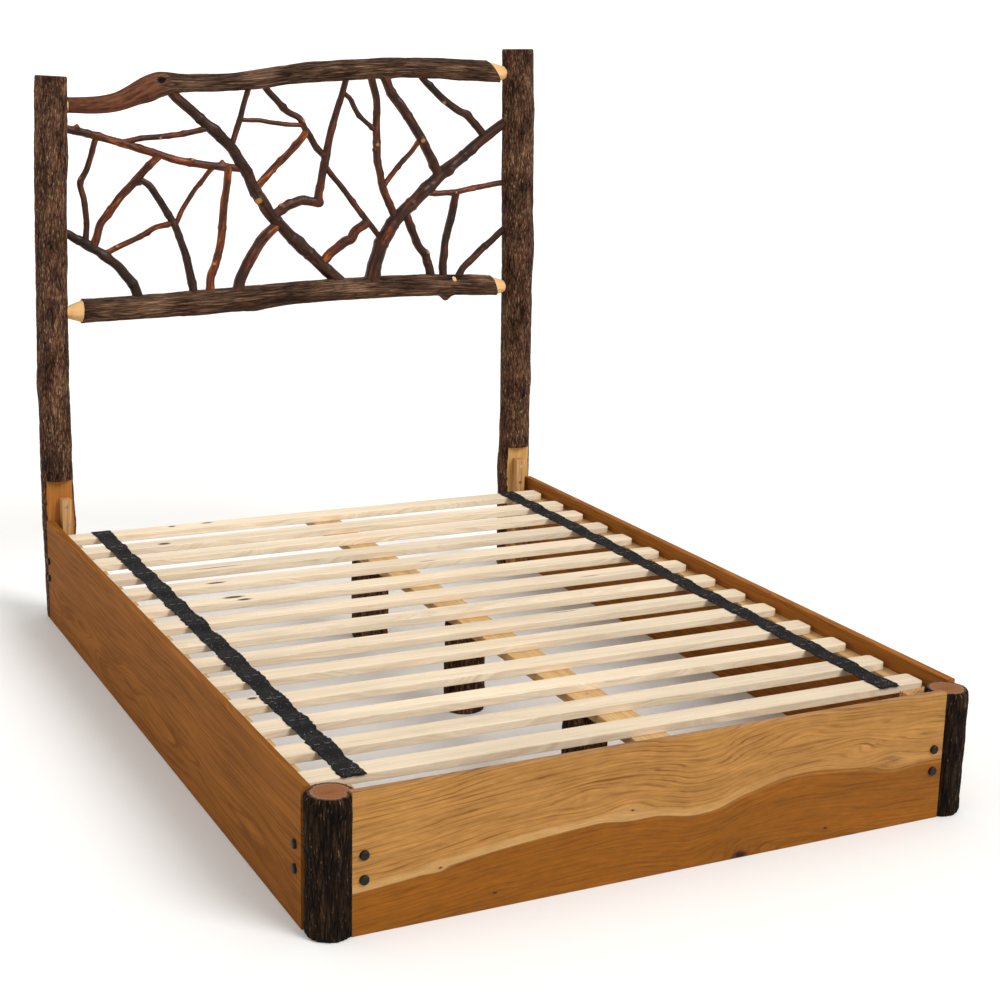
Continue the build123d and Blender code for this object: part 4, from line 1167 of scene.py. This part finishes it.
class LOGBED_OT_straps(bpy.types.Operator):
    """Two lengths of woven webbing that tie the slats together"""
    bl_idname = "logbed.straps"
    bl_label = "Straps"

    def execute(self, context):
        webbing = webbing_material(context.scene.log_bed_webbing)
        width, thick, lift, sag, rows = 47 * MM, 1.6 * MM, 0.15 * MM, 5 * MM, 15
        on_slat = (0.12, 0.3, 0.5, 0.7, 0.88)
        between_slats = (0.0, 0.08, 0.2, 0.35, 0.5, 0.65, 0.8, 0.92, 1.0)
        for number, side in enumerate(side_sign):
            low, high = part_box("strap_" + side)
            centre_x = (low.x + high.x) / 2
            chance = random.Random(40 + number)
            # each stop: distance towards the head, dip, and how much of its width the webbing keeps
            route = [(slat_front(0) + slat_width, 0.0, 1.0)]
            for i in range(slat_count):
                front = slat_front(i)
                route += [(front + slat_width * (1 - t), chance.uniform(0, 0.4) * MM,
                           chance.uniform(0.98, 1.08)) for t in on_slat]
                if i < slat_count - 1:
                    far = slat_front(i + 1) + slat_width
                    dip, pull = sag * chance.uniform(0.5, 1.1), chance.uniform(0.86, 0.97)
                    for t in between_slats:
                        keep = 1 - (1 - pull) * math.sin(math.pi * t) + chance.uniform(-0.02, 0.02)
                        route.append((front + (far - front) * t, -dip * math.sin(math.pi * t) ** 1.2,
                                      keep - (0.1 if t in (0.0, 1.0) else 0.0)))
            route += [(slat_front(slat_count - 1), 0.0, 1.0), (low.y, -0.4 * MM, 1.02)]
            verts, faces, weave = [], [], []
            length = 0.0
            for k, (y, dip, keep) in enumerate(route):
                if k:
                    length += math.hypot(y - route[k - 1][0], dip - route[k - 1][1])
                shift = 2.4 * MM * noise.noise(Vector((y * 9, number * 7.1, 0)))
                tuck = abs(min(dip, 0.0)) * 0.5
                for layer in (0, 1):
                    for j in range(rows):
                        u = j / (rows - 1) - 0.5
                        edge = (2 * abs(u)) ** 4
                        ragged = chance.uniform(-2.4, 1.6) * MM * edge * (1 if u > 0 else -1)
                        curl = 0.9 * MM * noise.noise(Vector((y * 24, u * 3, number * 5)))
                        ends = chance.uniform(-3.5, 1.5) * MM if k == len(route) - 1 else 0.0
                        z = slats_high.z + (thick if layer else lift) + dip + max(curl, 0) + tuck * edge
                        verts.append((centre_x + shift + u * width * keep + ragged, y - ends, z))
                        weave.append((u * width, length, layer * 0.01))
            ring = 2 * rows
            for k in range(len(route) - 1):
                for j in range(rows - 1):
                    a, b = k * ring + j, k * ring + j + rows
                    faces += [(a, a + ring, a + ring + 1, a + 1), (b + 1, b + ring + 1, b + ring, b)]
                a, b = k * ring, k * ring + rows
                faces.append((a, b, b + ring, a + ring))
                a, b = a + rows - 1, b + rows - 1
                faces.append((a + ring, b + ring, b, a))
            for k, first in ((0, True), (len(route) - 1, False)):
                for j in range(rows - 1):
                    a, b = k * ring + j, k * ring + rows + j
                    faces.append((a, a + 1, b + 1, b) if first else (b, b + 1, a + 1, a))
            piece = make_piece("strap_" + side + "_webbing", verts, faces, [webbing], weave=weave)
            place(piece, ROLL, "webbing", "strap_" + side)
        return {"FINISHED"}


class LOGBED_OT_hardware(bpy.types.Operator):
    """Bolts, screws, brads and staples"""
    bl_idname = "logbed.hardware"
    bl_label = "Hardware"

    def execute(self, context):
        # each node, what its metal is, its colour, how metallic and rough it is, and how uneven
        for node, name, colour, metallic, roughness, mottle in (
                ("twig_brads", "Steel wire, galvanised", "#C9C9C6", 1.0, 0.3, 0.1),
                ("bolts", "Steel bolt, blackened", "#241E1A", 0.7, 0.5, 0.35),
                ("wood_screws", "Steel screw, zinc plated", "#B9B4A6", 1.0, 0.35, 0.12),
                ("strap_staples", "Steel staple, dulled", "#8B8984", 1.0, 0.5, 0.2)):
            finish_node(node, metal_material(name, colour, metallic, roughness, mottle))
        return {"FINISHED"}


class LOGBED_OT_stage(bpy.types.Operator):
    """Pale floor, soft studio lights and the camera"""
    bl_idname = "logbed.stage"
    bl_label = "Stage"

    camera_place = Vector((-1.7139, head_y - 4.6354, 1.5125))     # metres
    camera_right = Vector((0.8966, -0.4423, 0.0228))
    camera_forward = Vector((0.434, 0.867, -0.2449))
    camera_lens, camera_film = 66.18, 36.0                        # millimetres
    key_from = Vector((0.42, -0.72, 0.75))
    warm_white = (1.0, 0.99, 0.975, 1.0)
    floor_flat, floor_curve, floor_sides = 12.0, 3.0, 96          # metres, metres, count

    def execute(self, context):
        look = context.scene.log_bed_stage
        paper, tree, shader = new_material("Matte paper sweep", Roughness=0.95, Specular_IOR_Level=0.1)
        where = add(tree, "position")
        tooth = add(tree, "noise", add(tree, "cells", where, (2.5 * MM, 2.5 * MM, 2.5 * MM)), 2.0)
        pale = add(tree, "mix", 0.03, tuple(look.floor_colour), tooth, blend_type="MULTIPLY")
        dress(tree, shader, pale, add(tree, "bump", tooth, 0.1 * MM, 0.05))
        # a round floor whose rim curves up into a low wall, so that no edge shows behind the bed
        flat, curve, sides = self.floor_flat, self.floor_curve, self.floor_sides
        rim = [(flat + curve * math.sin(t), curve - curve * math.cos(t))
               for t in np.linspace(0, math.pi / 2, 12)]
        rings = [(2.0, 0.0), (7.0, 0.0)] + rim + [(flat + curve, 4.2)]
        turns = [2 * math.pi * k / sides for k in range(sides)]
        verts = [(r * math.cos(t), r * math.sin(t), z) for r, z in rings for t in turns]
        faces = [tuple(range(sides))]
        for i in range(len(rings) - 1):
            faces += [(i * sides + j, (i + 1) * sides + j, (i + 1) * sides + (j + 1) % sides,
                       i * sides + (j + 1) % sides) for j in range(sides)]
        floor = make_piece("floor", verts, faces, [paper])
        world = bpy.data.worlds.new("Soft surround")
        world.use_nodes = True
        sky = world.node_tree.nodes["Background"]
        sky.inputs["Color"].default_value = self.warm_white
        sky.inputs["Strength"].default_value = look.surround
        context.scene.world = world
        context.scene.view_settings.view_transform = "Standard"
        lamp = bpy.data.lights.new("key", "SUN")
        lamp.energy, lamp.angle = look.key_strength, look.key_spread
        holder = bpy.data.objects.new("key", lamp)
        holder.location = self.key_from * 4     # where it stands makes no difference to a sun
        holder.rotation_euler = self.key_from.to_track_quat("Z", "Y").to_euler()
        context.scene.collection.objects.link(holder)
        camera = bpy.data.cameras.new("camera")
        camera.lens, camera.sensor_width = self.camera_lens, self.camera_film
        camera.clip_start, camera.clip_end = 0.1, 100.0
        holder = bpy.data.objects.new("camera", camera)
        back = -self.camera_forward.normalized()
        right = (self.camera_right - back * self.camera_right.dot(back)).normalized()
        holder.matrix_world = Matrix((*zip(right, back.cross(right), back, self.camera_place),
                                      (0, 0, 0, 1)))
        context.scene.collection.objects.link(holder)
        context.scene.camera = holder
        return {"FINISHED"}


class LOGBED_PT_panel(bpy.types.Panel):
    """Lists the steps that dress the bed"""
    bl_idname = "LOGBED_PT_panel"
    bl_label = "Log Bed"
    bl_space_type = "VIEW_3D"
    bl_region_type = "UI"
    bl_category = "Log Bed"

    def draw(self, context):
        for step in steps:
            self.layout.operator(step.bl_idname)
        for group in settings:
            held = getattr(context.scene, group)
            for key in held.bl_rna.properties.keys():
                if key not in ("rna_type", "name"):
                    self.layout.prop(held, key)


settings = {"log_bed_bark": LogBedBark, "log_bed_twigs": LogBedTwigs, "log_bed_lumber": LogBedLumber,
            "log_bed_webbing": LogBedWebbing, "log_bed_stage": LogBedStage}
steps = (LOGBED_OT_stage, LOGBED_OT_boards, LOGBED_OT_blocks, LOGBED_OT_head_posts, LOGBED_OT_head_rails,
         LOGBED_OT_twigs, LOGBED_OT_foot_posts, LOGBED_OT_centre_legs, LOGBED_OT_slats, LOGBED_OT_straps,
         LOGBED_OT_hardware)


def register():
    for kind in (*settings.values(), *steps, LOGBED_PT_panel):
        bpy.utils.register_class(kind)
    for name, group in settings.items():
        setattr(bpy.types.Scene, name, bpy.props.PointerProperty(type=group))


def unregister():
    for name in settings:
        delattr(bpy.types.Scene, name)
    for kind in reversed((*settings.values(), *steps, LOGBED_PT_panel)):
        bpy.utils.unregister_class(kind)


def main():
    register()
    for step in steps:
        group, name = step.bl_idname.split(".")
        getattr(getattr(bpy.ops, group), name)()


if __name__ == "__main__":
    main()
